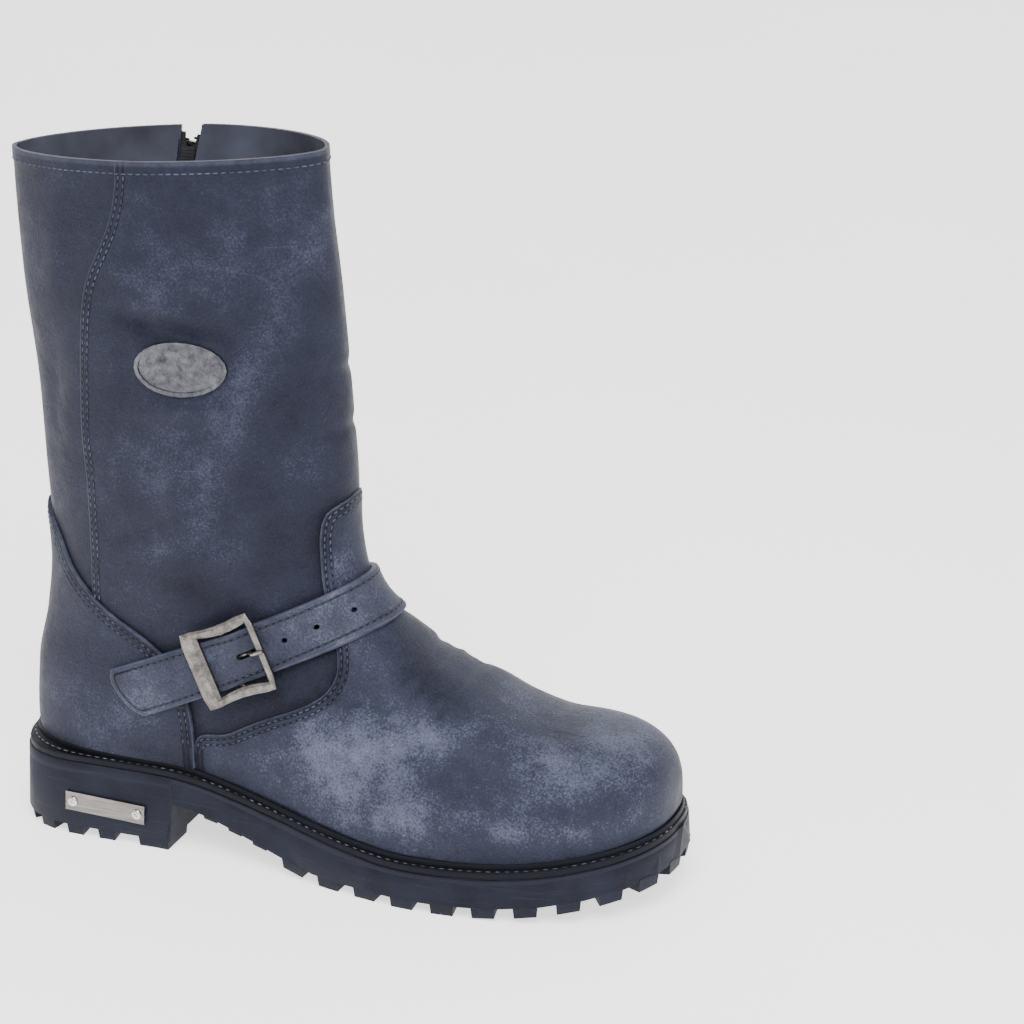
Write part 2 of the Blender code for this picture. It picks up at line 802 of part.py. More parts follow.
def join_prisms(name, prisms):
    """One cutter or filler made of prisms that don't touch."""
    vertices = []
    faces = []
    for low, high in prisms:
        base = len(vertices)
        count = len(low)
        vertices += low + high
        faces.append(tuple(base + j for j in reversed(range(count))))
        faces.append(tuple(base + count + j for j in range(count)))
        for j in range(count):
            k = (j + 1) % count
            faces.append((base + j, base + k, base + count + k, base + count + j))
    return add_body(name, vertices, faces)


def tapered(outline):
    """Outline drawn in towards its middle by the lug's taper."""
    middle = np.mean(np.array(outline), axis=0)
    drawn = []
    for p in outline:
        away = np.array(p) - middle
        drawn.append(np.array(p) - away / np.linalg.norm(away) * LUG_TAPER)
    return drawn


def perimeter_lugs():
    """Lugs along the edge of the heel and of the forefoot."""
    points, run = perimeter()
    prisms = []
    for at, width, reach, narrow in heel_lugs(points, run) + forefoot_lugs(points, run):
        outer = [along_perimeter(points, run, at + move * width)[0] for move in (-0.5, 0.0, 0.5)]
        middle, inward = along_perimeter(points, run, at)
        side = np.array([-inward[1], inward[0]])
        end = middle + inward * reach
        outline = outer + [end - side * narrow / 2, end + side * narrow / 2]
        outline = order_outline(outline)
        prisms.append(lug_prism(outline, tapered(outline), LUG))
    return join_prisms("perimeter_lugs", prisms)


def order_outline(outline):
    """Points sorted round their middle, so that the outline never crosses itself."""
    middle = np.mean(np.array(outline), axis=0)
    return sorted(outline, key=lambda p: math.atan2(p[1] - middle[1], p[0] - middle[0]))


def run_at(points, run, x, inner):
    """Run length where the outline's outer or inner side passes x."""
    half = len(points) // 2
    if inner:
        return float(np.interp(x, points[half:, 0][::-1], run[half:][::-1]))
    return float(np.interp(x, points[:half, 0], run[:half]))


def heel_lugs(points, run):
    """Run length, width, reach and inner width of the heel's lugs, the broad front pair first."""
    front = BACK + HEEL_LENGTH - 0.001 - HEEL_FRONT_LUG / 2
    start = run_at(points, run, front, False)
    end = run_at(points, run, front, True) - run[-1]
    lugs = [(at, HEEL_FRONT_LUG, LUG_REACH, HEEL_FRONT_LUG) for at in (start, end)]
    room = start - end - HEEL_FRONT_LUG
    count = int(round(room / HEEL_LUG_PITCH))
    for k in range(1, count):
        at = start - HEEL_FRONT_LUG / 2 - room * k / count
        lugs.append((at, HEEL_LUG_WIDTH, HEEL_LUG_REACH, HEEL_LUG_WIDTH * 0.55))
    return lugs


def forefoot_lugs(points, run):
    """Run length, width, reach and inner width of the forefoot's lugs, round the toe."""
    ball = BACK + FOREFOOT_FROM * LENGTH
    start = run_at(points, run, ball, False)
    end = run_at(points, run, ball, True)
    count = int(round((end - start) / LUG_PITCH))
    step = (end - start) / count
    return [(start + step * k, LUG_WIDTH, LUG_REACH, LUG_WIDTH * 0.68) for k in range(count + 1)]


def bar_outline(x, y, length, width):
    return [np.array((x - length / 2, y - width / 2)), np.array((x + length / 2, y - width / 2)),
            np.array((x + length / 2, y + width / 2)), np.array((x - length / 2, y + width / 2))]


def centre_lugs():
    """Blocks along the middle: one broad block at the heel, bars under the forefoot."""
    prisms = []
    heel = bar_outline(0.0, 0.0, HEEL_LENGTH * 0.36, BALL_WIDTH * 0.22)
    prisms.append(lug_prism(heel, tapered(heel), LUG))
    first = BACK + 0.52 * LENGTH
    last = BACK + 0.84 * LENGTH
    count = int((last - first) / LUG_PITCH)
    for k in range(count + 1):
        x = first + LUG_PITCH * k
        bar = bar_outline(x, float(centre_line(x)), LUG_WIDTH, BALL_WIDTH * 0.32)
        prisms.append(lug_prism(bar, tapered(bar), LUG))
    return join_prisms("centre_lugs", prisms)


def waist_lugs():
    """Low bars under the waist, between the heel and the forefoot."""
    prisms = []
    for share in (0.335, 0.375, 0.415):
        x = BACK + share * LENGTH
        for inner in (False, True):
            edge = outline_half(x, inner, LUG_STEP + 0.0006)
            sign = 1.0 if inner else -1.0
            bar = bar_outline(x, edge - sign * LUG_REACH / 2, LUG_WIDTH * 0.62, LUG_REACH)
            prisms.append(lug_prism(bar, tapered(bar), WAIST_LUG))
    return join_prisms("waist_lugs", prisms)


def plan_points(inset, angle):
    """Points of the sole's outline drawn in by the inset, along the net's lowest rays."""
    start = BACK + FAN[0][1] * LENGTH
    run_x = FAN[0][2] * LENGTH * np.cos(angle)
    run_y = FAN[0][3] * BALL_WIDTH * np.sin(angle)
    low = np.zeros(np.shape(angle))
    high = np.full(np.shape(angle), 1.9)
    for _ in range(40):
        middle = (low + high) / 2
        inside = plan_share(start + middle * run_x, middle * run_y, inset) < 1
        low = np.where(inside, middle, low)
        high = np.where(inside, high, middle)
    return np.stack([start + low * run_x, low * run_y], -1)


def make_welt(grid, material):
    """Welt on the rubber's edge, with a rib standing against the upper."""
    count = AROUND * 2
    angle = np.linspace(0, 2 * math.pi, count, endpoint=False)
    outer = plan_points(SIDE_FLARE + WELT_IN, angle)
    points, outward = grid
    walls = points[1:4, :, :2] + outward[1:4, :, :2] * VAMP_STEP
    rings = []
    rib_top = WELT_THICK + RIB_HEIGHT
    middle = np.array([BACK + FAN[0][1] * LENGTH, 0.0])
    for i in range(count):
        j = i // 2
        k = (i + i % 2) // 2 % AROUND
        wall = (walls[:, j] + walls[:, k]) / 2
        inward = middle - outer[i]
        inward = inward / np.linalg.norm(inward)
        past = walls[1, (k + 1) % AROUND] - walls[1, j - 1]
        facing = np.array([past[1], -past[0]]) / np.linalg.norm(past)
        facing = facing * math.copysign(1.0, facing @ inward)
        reach = (float(np.min((wall - outer[i]) @ facing)) - RIB_CLEAR) / float(facing @ inward)
        rib = max(reach - RIB_WIDTH, reach * 0.3)
        slope = min(RIB_WIDTH * 0.15, (reach - rib) * 0.2)
        under = reach + WELT_UNDER
        profile = ((0.0, 0.0), (0.0, WELT_THICK * 0.86), (min(WELT_THICK / 6, rib * 0.5), WELT_THICK),
                   (rib, WELT_THICK), (rib + slope, rib_top), (reach - slope, rib_top),
                   (reach, WELT_THICK), (under, WELT_THICK), (under, 0.0))
        section = []
        for run, z in profile:
            place = outer[i] + inward * run
            base = float(sole_top(place[0])) + GAP
            section.append((place[0], place[1], base + z))
        rings.append(section)
    body = closed_loft("welt", rings)
    return finish(body, material, 35)


def make_insole(grid, material):
    """Board inside the upper, on the welt's inner part."""
    body = form("insole", grid, -WALL - GAP * 1.6)
    cut(body, under_floor("insole_floor", GAP))
    stations = np.linspace(BACK - 0.03, BACK + LENGTH + 0.03, 33)
    rings = []
    for x in stations:
        top = float(welt_top(x)) + GAP + INSOLE_THICK
        rings.append([(x, -FAR, top), (x, FAR, top), (x, FAR, HEIGHT * 2), (x, -FAR, HEIGHT * 2)])
    cut(body, loft("insole_over", rings))
    return finish(body, material, 35)


def make_upper(grid, material):
    """Hollow upper: shaft, raised vamp, open collar, open underneath, slit for the zip."""
    rows = len(grid[0])
    body = form("upper", grid, 0.0, 0, rows - 1)
    vamp = form("vamp", grid, VAMP_STEP, 0, rows - 1)
    bottom = -0.03
    beyond = BACK + LENGTH + 0.03
    front = VAMP_EDGE[-1][1] * HEIGHT
    start = BACK + VAMP_EDGE[0][0] * LENGTH
    close = ((beyond, front), (beyond, bottom), (start, bottom))
    keep(vamp, side_prism("vamp_outline", VAMP_EDGE, close))
    union(body, vamp)
    cut(body, form("hollow", grid, -WALL))
    cut(body, under_floor("floor", GAP))
    line = zip_points()
    cut(body, zip_prism("zip_slit", ZIP_SLOT, line[0][1], line[-1][1]))
    return finish(body, material, 35)


def make_counter(grid, material):
    """Heel counter laid over the shaft and over the ends of the vamp."""
    behind = BACK - 0.04
    low = -0.03
    top = COUNTER_EDGE[0][1] * HEIGHT
    foot = BACK + COUNTER_EDGE[-1][0] * LENGTH
    outline = side_prism("counter_outline", COUNTER_EDGE, ((foot, low), (behind, low), (behind, top)))
    body = patch("heel_counter", grid, GAP * 1.2, GAP * 1.2 + COUNTER_THICK, outline)
    cut(body, under_floor("counter_floor", RIB_HEIGHT + GAP * 2))
    return finish(body, material, 35)


def make_strap(material):
    """Strap over the instep, from the counter's inner edge to its tip beyond the buckle."""
    lanes = (-0.5, -0.25, 0.0, 0.25, 0.5)
    tip = BACK + STRAP_TIP[0] * LENGTH
    root = BACK + STRAP_ROOT[0] * LENGTH
    sections = 34
    ends = []
    for lane in lanes:
        across = lane * STRAP_WIDTH
        first = strap_angle(tip - lane * TIP_SLANT + TIP_ROUND * (2 * abs(lane)) ** 3, across, False)
        last = strap_angle(root - lane * ROOT_SLANT, across, True)
        ends.append((across, first, last))
    faces_in = []
    faces_out = []
    for i in range(sections + 1):
        t = i / sections
        row_in = []
        row_out = []
        for across, first, last in ends:
            point = strap_skin(first + (last - first) * t, across)
            lift = strap_lift(float(point[0]), point[1] < 0)
            out = normals(point)
            row_in.append(point + out * lift)
            row_out.append(point + out * (lift + STRAP_THICK))
        faces_in.append(row_in)
        faces_out.append(row_out)
    rings = [row_in + row_out[::-1] for row_in, row_out in zip(faces_in, faces_out)]
    body = loft("strap", rings)
    for number in range(1, 4):
        frame, centre = strap_frame(BACK + BUCKLE_AT * LENGTH + PRONG_HOLE + number * HOLE_PITCH)
        start = centre - frame[:, 2] * 0.010
        cut(body, rod("hole", start, centre + frame[:, 2] * 0.012, HOLE_RADIUS, 8))
    frame, centre = strap_frame(BACK + BUCKLE_AT * LENGTH)
    slot = (PRONG_SLOT, 2 * (PRONG_RADIUS + GAP * 1.5), 0.030)
    cut(body, box("prong_slot", slot, place_local(frame, centre, PRONG_HOLE - 0.0016, 0, 0), frame))
    return finish(body, material, 35)


def strap_frame(x):
    """Axes along, across and off the strap on the outer side at x, and the skin point there."""
    angle = strap_angle(x, 0.0, False)
    centre = strap_skin(angle, 0.0)
    ahead = strap_skin(angle + 0.05, 0.0)
    behind = strap_skin(angle - 0.05, 0.0)
    along = (ahead - behind) / np.linalg.norm(ahead - behind)
    off = normals(centre)
    off = off - along * np.dot(off, along)
    off = off / np.linalg.norm(off)
    across = np.cross(off, along)
    return np.stack([along, across, off], -1), centre


def buckle_place():
    """Frame and height of the buckle over the strap."""
    frame, centre = strap_frame(BACK + BUCKLE_AT * LENGTH)
    height = 0.0
    for move in (-0.5, 0.5):
        for lane in (-0.5, 0.0, 0.5):
            x = centre[0] + move * (BUCKLE_LENGTH - BUCKLE_FRONT_BAR) * frame[0, 0]
            angle = strap_angle(x, lane * STRAP_WIDTH, False)
            skin = strap_skin(angle, lane * STRAP_WIDTH)
            top = skin + normals(skin) * (strap_lift(float(skin[0]), True) + STRAP_THICK)
            height = max(height, float(np.dot(top - centre, frame[:, 2])))
    return frame, centre, height + GAP


def place_local(frame, centre, along, across, off):
    return centre + frame @ np.array([along, across, off])


def make_buckle(material):
    """Open frame with hollowed bars and a rod across its middle, under the strap."""
    frame, centre, height = buckle_place()
    half_l = BUCKLE_LENGTH / 2
    half_h = BUCKLE_HEIGHT / 2
    opening = BUCKLE_LENGTH - BUCKLE_BACK_BAR - BUCKLE_FRONT_BAR
    steps = 6
    outer = []
    inner = []
    corners = ((1, -1), (1, 1), (-1, 1), (-1, -1))
    for n, (cl, ch) in enumerate(corners):
        nl, nh = corners[(n + 1) % 4]
        for k in range(steps):
            t = k / steps
            along = half_l * (cl + (nl - cl) * t)
            across = half_h * (ch + (nh - ch) * t)
            hollow = BUCKLE_WAIST * math.sin(math.pi * t)
            if cl == nl:
                outer.append((along, across))
            else:
                outer.append((along, across - math.copysign(hollow, ch)))
    for along, across in outer:
        share = along / BUCKLE_LENGTH + 0.5
        inside = -half_l + BUCKLE_BACK_BAR + share * opening
        inner.append((inside, across * (half_h - BUCKLE_SIDE_BAR) / half_h))
    outer_round = [soften(p, half_l, half_h) for p in outer]
    rings = []
    for (oa, oc), (ia, ic) in zip(outer_round, inner):
        section = []
        for share, z in ((0.0, 0.0), (1.0, 0.0), (1.0, 0.7), (0.72, 1.0), (0.28, 1.0), (0.0, 0.7)):
            along = oa + (ia - oa) * share
            across = oc + (ic - oc) * share
            section.append(place_local(frame, centre, along, across, height + z * BUCKLE_THICK))
        rings.append(section)
    body = closed_loft("buckle_frame", rings)
    low = VAMP_STEP + GAP + BUCKLE_ROD
    edge = STRAP_WIDTH / 2 + BUCKLE_ROD + GAP * 2
    bar = half_h - BUCKLE_SIDE_BAR / 2 - BUCKLE_WAIST
    half = [(bar, height + BUCKLE_THICK * 0.45), (edge, low + BUCKLE_ROD * 0.8), (edge - BUCKLE_ROD * 1.6, low)]
    path = [(0, -a, z) for a, z in half] + [(0, a, z) for a, z in half[::-1]]
    path = [place_local(frame, centre, *p) for p in path]
    union(body, tube("buckle_rod", path, BUCKLE_ROD, 8, frame[:, 0]))
    return finish(body, material, 35)


def soften(point, half_l, half_h):
    """Pull the frame's corners in, so that they are round lobes."""
    along, across = point
    if abs(abs(along) - half_l) < 1e-6 and abs(abs(across) - half_h) < 1e-6:
        return along - math.copysign(BUCKLE_LOBE, along), across - math.copysign(BUCKLE_LOBE, across)
    return point


def make_prong(material):
    """Prong from the rod up through the strap's hole onto the buckle's bar."""
    frame, centre, height = buckle_place()
    low = VAMP_STEP + GAP + BUCKLE_ROD
    radius = PRONG_RADIUS
    over = height + BUCKLE_THICK + GAP + radius
    start = BUCKLE_ROD + radius + GAP
    bar = BUCKLE_LENGTH / 2 - BUCKLE_FRONT_BAR - GAP * 2
    path = [(start, 0, low), (PRONG_HOLE - 0.0030, 0, low + 0.0001),
            (PRONG_HOLE - 0.0006, 0, low + 0.0014), (PRONG_HOLE + 0.0012, 0, (low + over) / 2 + 0.0010),
            (bar - 0.0014, 0, over - 0.0007), (bar, 0, over), (BUCKLE_LENGTH / 2 + PRONG_OVER, 0, over)]
    body = tube("buckle_prong", [place_local(frame, centre, *p) for p in path], radius, 8, frame[:, 1])
    return finish(body, material, 35)


def zip_top():
    """Height where the closed part of the zip ends, under the slider."""
    return HEIGHT - SLIDER_DROP + SLIDER_LENGTH * 0.3


def make_zip_tape(grid, material):
    """Tape that closes the slit in the shaft's inner side."""
    foot = zip_points()[-1][1] + GAP * 1.2
    outline = zip_prism("tape_outline", ZIP_SLOT - GAP * 2.4, zip_top(), foot)
    body = patch("zip_tape", grid, -GAP - ZIP_TAPE, -GAP, outline)
    return finish(body, material, 35)


def make_zip_chain(grid, material):
    """Closed row of teeth on the tape."""
    foot = zip_points()[-1][1] + STOP_UP + STOP_TALL / 2 + GAP * 1.5
    outline = zip_prism("chain_outline", ZIP_CHAIN, zip_top(), foot)
    body = patch("zip_chain", grid, 0.0, CHAIN_THICK, outline)
    return finish(body, material, 35)


def zip_frame(height):
    """Axes across, along and off the zip at a height, and the skin point there."""
    centre = side_point(zip_at(height), height, True, 0.0)
    above = height + SLIDER_LENGTH * 0.4
    up = side_point(zip_at(above), above, True, 0.0) - centre
    up = up / np.linalg.norm(up)
    off = normals(centre)
    off = off - up * np.dot(off, up)
    off = off / np.linalg.norm(off)
    return np.stack([np.cross(up, off), up, off], -1), centre


def slider_place():
    """Frame of the slider and height of its pin over the skin."""
    frame, centre = zip_frame(HEIGHT - SLIDER_DROP)
    pin = CHAIN_THICK + GAP + SLIDER_THICK + GAP * 2 + EYE_RADIUS
    return frame, centre, pin


def make_slider(material):
    """Slider body on the chain, with two ears and the pin between them."""
    frame, centre, pin = slider_place()
    base = CHAIN_THICK + GAP
    outline = ((-0.40, -0.5), (0.40, -0.5), (0.5, 0.15), (0.38, 0.5), (-0.38, 0.5), (-0.5, 0.15))
    bevel = SLIDER_THICK * 0.27
    rings = []
    for height, shrink in ((0.0, 0.0), (SLIDER_THICK * 0.7, 0.0), (SLIDER_THICK, bevel)):
        ring = []
        for across, along in outline:
            wide = across * (SLIDER_WIDTH - 2 * shrink)
            long = along * (SLIDER_LENGTH - 2 * shrink)
            ring.append(place_local(frame, centre, wide, long, base + height))
        rings.append(ring)
    body = loft("zip_slider", rings)
    side = EYE_WIDTH / 2 + GAP * 1.5 + EAR_THICK / 2
    foot = base + SLIDER_THICK * 0.6
    top = pin + PIN_RADIUS * 1.9
    for sign in (-1, 1):
        middle = place_local(frame, centre, sign * side, 0.0, (foot + top) / 2)
        union(body, box("ear", (EAR_THICK, EAR_LENGTH, top - foot), middle, frame))
    start = place_local(frame, centre, -side, 0.0, pin)
    end = place_local(frame, centre, side, 0.0, pin)
    union(body, rod("pin", start, end, PIN_RADIUS, 8))
    return finish(body, material, 35)


def make_tab(material):
    """Pull tab hanging from the slider's pin: eye, neck and plate with a hole."""
    frame, centre, pin = slider_place()
    axis = place_local(frame, centre, 0.0, 0.0, pin)
    across = frame[:, 0]
    hang = np.stack([across, np.array([0.0, 0.0, 1.0]), np.cross(across, [0.0, 0.0, 1.0])], -1)
    hang[:, 2] = hang[:, 2] / np.linalg.norm(hang[:, 2])
    hang[:, 1] = np.cross(hang[:, 2], hang[:, 0])
    start = axis - across * EYE_WIDTH / 2
    end = axis + across * EYE_WIDTH / 2
    body = rod("zip_pull_tab", start, end, EYE_RADIUS, 14)
    neck = EYE_WIDTH * 0.45
    half = TAB_WIDTH / 2
    side = [(neck, -EYE_RADIUS * 0.5), (neck, -TAB_NECK), (half, -TAB_NECK * 1.5),
            (half, -TAB_LENGTH + TAB_CORNER), (half - TAB_CORNER * 0.8, -TAB_LENGTH)]
    outline = side + [(-a, b) for a, b in side[::-1]]
    rings = []
    for off in (-TAB_THICK / 2, TAB_THICK / 2):
        rings.append([axis + hang @ np.array([a, b, off]) for a, b in outline])
    union(body, loft("tab_plate", rings))
    reach = across * EYE_WIDTH
    cut(body, rod("eye_hole", axis - reach, axis + reach, PIN_RADIUS + GAP, 14))
    low = axis + hang @ np.array([0.0, TAB_HOLE_UP - TAB_LENGTH, 0.0])
    through = hang[:, 2] * TAB_THICK * 2
    cut(body, rod("tab_hole", low - through, low + through, TAB_HOLE, 12))
    return finish(body, material, 35)


def make_stop(material):
    """Metal stop at the foot of the zip."""
    frame, centre = zip_frame(zip_points()[-1][1] + STOP_UP)
    place = place_local(frame, centre, 0.0, 0.0, STOP_THICK / 2 + GAP * 0.3)
    size = (STOP_WIDTH, STOP_TALL, STOP_THICK)
    return finish(box("zip_bottom_stop", size, place, frame), material, 35)


def make_badge(grid, material):
    """Plain oval plate with a raised rim, bent to the shaft."""
    low = GAP * 1.3
    body = patch("shaft_badge", grid, low, low + BADGE_THICK, oval_prism("badge_outline", 0.0, -0.005))
    inner = oval_prism("badge_inner", BADGE_RIM, -0.004)
    dip = patch("badge_field", grid, low + BADGE_THICK * 0.6, low + BADGE_THICK * 3, inner)
    cut(body, dip)
    return finish(body, material, 35)


def oval_prism(name, inset, near):
    """Cutter with the badge's oval outline, through the outer side only."""
    x0 = BACK + BADGE_AT[0] * LENGTH
    z0 = BADGE_AT[1] * HEIGHT
    tilt = math.radians(BADGE_TILT)
    outline = []
    for k in range(24):
        turn = 2 * math.pi * k / 24
        a = (BADGE_LENGTH / 2 - inset) * math.cos(turn)
        b = (BADGE_HEIGHT / 2 - inset) * math.sin(turn)
        x = x0 + a * math.cos(tilt) - b * math.sin(tilt)
        outline.append((x, z0 + a * math.sin(tilt) + b * math.cos(tilt)))
    first = [(x, near, z) for x, z in outline]
    second = [(x, -FAR, z) for x, z in outline]
    return loft(name, [first, second])


def plate_frame():
    """Axes along, up and off the heel's outer side at the plate, and the point there."""
    x = BACK + PLATE_AT[0] * LENGTH
    z = PLATE_AT[1] * HEIGHT
    half = PLATE_LENGTH / 2

    def side(px, pz):
        low = LUG
        share = (pz - low) / (HEEL_HEIGHT - low)
        return np.array([px, outline_half(px, False, SIDE_FLARE * share), pz])

    along = side(x + half, z) - side(x - half, z)
    along = along / np.linalg.norm(along)
    up = side(x, z + 0.004) - side(x, z - 0.004)
    off = np.cross(along, up)
    off = off / np.linalg.norm(off)
    if off[1] > 0:
        off = -off
    tilt = math.radians(-PLATE_TILT)
    up = np.cross(along, off)
    up = up / np.linalg.norm(up)
    if up[2] < 0:
        up = -up
    turned = along * math.cos(tilt) + up * math.sin(tilt)
    up = -along * math.sin(tilt) + up * math.cos(tilt)
    centre = side(x, z)
    clear = max(float(np.dot(side(x + move, z) - centre, off)) for move in np.linspace(-half, half, 9))
    return np.stack([turned, up, off], -1), centre, clear + GAP


def make_plate(material):
    """Plain metal plate on the heel's outer side."""
    frame, centre, clear = plate_frame()
    place = place_local(frame, centre, 0.0, 0.0, clear + PLATE_THICK / 2)
    body = box("heel_plate", (PLATE_LENGTH, PLATE_HEIGHT, PLATE_THICK), place, frame)
    return finish(body, material, 35)


def make_screw(name, side, material):
    """Screw head on the plate, with a domed edge."""
    frame, centre, clear = plate_frame()
    along = side * (PLATE_LENGTH / 2 - PLATE_HEIGHT * 0.42)
    low = clear + PLATE_THICK + GAP * 0.5
    rings = []
    for share, height in ((1.0, 0.0), (1.0, SCREW_HEIGHT * 0.5), (0.7, SCREW_HEIGHT)):
        ring = []
        for k in range(12):
            turn = 2 * math.pi * k / 12
            a = along + SCREW_RADIUS * share * math.cos(turn)
            b = SCREW_RADIUS * share * math.sin(turn)
            ring.append(place_local(frame, centre, a, b, low + height))
        rings.append(ring)
    return finish(loft(name, rings), material, 35)


def build():
    for item in list(bpy.data.objects):
        bpy.data.objects.remove(item)
    rubber = make_material("sole_rubber", (0.030, 0.034, 0.046), 0.75, 0.0)
    black = make_material("welt_rubber", (0.008, 0.009, 0.011), 0.55, 0.0)
    board = make_material("insole_board", (0.020, 0.020, 0.022), 0.85, 0.0)
    leather = make_material("upper_leather", (0.060, 0.070, 0.100), 0.50, 0.0)
    counter_leather = make_material("counter_leather", (0.058, 0.066, 0.092), 0.50, 0.0)
    strap_leather = make_material("strap_leather", (0.055, 0.062, 0.088), 0.50, 0.0)
    pewter = make_material("pewter", (0.330, 0.310, 0.290), 0.35, 1.0)
    badge_metal = make_material("badge_metal", (0.220, 0.225, 0.230), 0.40, 1.0)
    plate_metal = make_material("plate_metal", (0.500, 0.490, 0.480), 0.35, 1.0)
    screw_metal = make_material("screw_metal", (0.700, 0.700, 0.690), 0.25, 1.0)
    prong_metal = make_material("prong_metal", (0.340, 0.320, 0.300), 0.33, 1.0)
    tape_cloth = make_material("tape_cloth", (0.010, 0.010, 0.012), 0.90, 0.0)
    tooth_metal = make_material("tooth_metal", (0.160, 0.160, 0.150), 0.40, 1.0)
    slider_metal = make_material("slider_metal", (0.600, 0.590, 0.570), 0.28, 1.0)
    tab_metal = make_material("tab_metal", (0.620, 0.610, 0.590), 0.28, 1.0)
    stop_metal = make_material("stop_metal", (0.450, 0.440, 0.420), 0.35, 1.0)
    grid = net()
    make_outsole(rubber)
    make_welt(grid, black)
    make_insole(grid, board)
    make_upper(grid, leather)
    make_counter(grid, counter_leather)
    make_strap(strap_leather)
    make_buckle(pewter)
    make_prong(prong_metal)
    make_zip_tape(grid, tape_cloth)
    make_zip_chain(grid, tooth_metal)
    make_slider(slider_metal)
    make_tab(tab_metal)
    make_stop(stop_metal)
    make_badge(grid, badge_metal)
    make_plate(plate_metal)
    make_screw("heel_plate_screw_back", -1, screw_metal)
    make_screw("heel_plate_screw_front", 1, screw_metal)


build()
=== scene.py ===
"""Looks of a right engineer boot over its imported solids: leather, rubber, metal, cloth and thread."""

import math

import bpy
import numpy as np
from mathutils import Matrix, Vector


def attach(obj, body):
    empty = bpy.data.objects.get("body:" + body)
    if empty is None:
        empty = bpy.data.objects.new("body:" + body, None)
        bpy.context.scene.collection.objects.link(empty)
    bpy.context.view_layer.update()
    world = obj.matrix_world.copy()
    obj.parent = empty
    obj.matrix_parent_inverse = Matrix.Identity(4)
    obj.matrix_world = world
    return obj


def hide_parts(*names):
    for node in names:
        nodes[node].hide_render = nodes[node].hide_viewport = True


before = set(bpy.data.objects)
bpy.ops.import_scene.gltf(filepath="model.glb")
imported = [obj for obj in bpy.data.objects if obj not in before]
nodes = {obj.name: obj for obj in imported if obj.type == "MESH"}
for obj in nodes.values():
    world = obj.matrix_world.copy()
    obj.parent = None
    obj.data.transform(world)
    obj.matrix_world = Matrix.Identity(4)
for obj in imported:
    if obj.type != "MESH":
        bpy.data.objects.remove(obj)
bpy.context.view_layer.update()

# Last. The leather is pulled over a last, so every leather piece starts from the last's surface, which is
# where `field` is zero. Rows hold shares of the boot's own length, width and height.
LENGTH = 0.315
BALL_WIDTH = 0.114
HEEL_LENGTH = 0.085
HEEL_HEIGHT = 0.0365
FOREFOOT_HEIGHT = 0.018
TOE_SPRING = 0.015
INSTEP = 0.0938
HEIGHT = 0.321
LEDGE = 0.0065
GAP = 0.0003
WELT_THICK = 0.0030
BACK = -HEEL_LENGTH / 2
SHAFT_HEIGHT = HEIGHT - HEEL_HEIGHT
OUTLINE = (
    # station, outer, inner
    (0.00, 0.372, 0.372),
    (0.13, 0.374, 0.374),
    (0.26, 0.372, 0.360),
    (0.43, 0.410, 0.340),
    (0.55, 0.465, 0.410),
    (0.66, 0.505, 0.475),
    (0.74, 0.500, 0.492),
    (1.00, 0.500, 0.492),
)
HEEL_ROUND_TO = 0.13
TOE_ROUND_FROM = 0.70
HEEL_SQUARE = 2.8
TOE_SQUARE = 2.35
TOE_TURN = 0.026

FOOT = (
    # station, ridge, side, top
    (0.00, 1.073, 2.2, 2.0),
    (0.45, 1.040, 2.2, 2.0),
    (0.56, 1.000, 2.2, 1.9),
    (0.60, 0.925, 2.3, 1.9),
    (0.625, 0.855, 2.4, 1.9),
    (0.665, 0.782, 2.5, 2.0),
    (0.70, 0.734, 2.6, 2.1),
    (0.74, 0.648, 2.8, 2.2),
    (0.78, 0.588, 3.0, 2.3),
    (0.815, 0.550, 3.4, 2.5),
    (0.85, 0.540, 3.8, 2.7),
    (0.90, 0.524, 4.2, 2.9),
    (1.00, 0.460, 4.6, 3.1),
)
WIDEST_ABOVE_SOLE = 0.010
FEATHER_TUCK = 0.05

SHAFT = (
    # height, back, front, outer, inner, square
    (-0.023, 0.0200, 0.349, 0.302, 0.302, 2.40),
    (0.048, 0.0165, 0.381, 0.320, 0.320, 2.40),
    (0.136, 0.0205, 0.438, 0.318, 0.318, 2.35),
    (0.224, 0.0370, 0.483, 0.305, 0.305, 2.25),
    (0.316, 0.0465, 0.506, 0.314, 0.316, 2.15),
    (0.390, 0.0430, 0.513, 0.325, 0.338, 2.05),
    (0.474, 0.0390, 0.514, 0.330, 0.352, 2.00),
    (0.598, 0.0345, 0.508, 0.325, 0.370, 1.95),
    (0.778, 0.0170, 0.497, 0.305, 0.388, 1.85),
    (0.929, 0.0105, 0.484, 0.282, 0.400, 1.78),
    (1.053, 0.0095, 0.479, 0.275, 0.405, 1.75),
)
FIELD_SCALE = 0.045
BLEND_SIDE = 0.006
BLEND_FRONT = 0.015
BLEND_WIDTH = 0.026

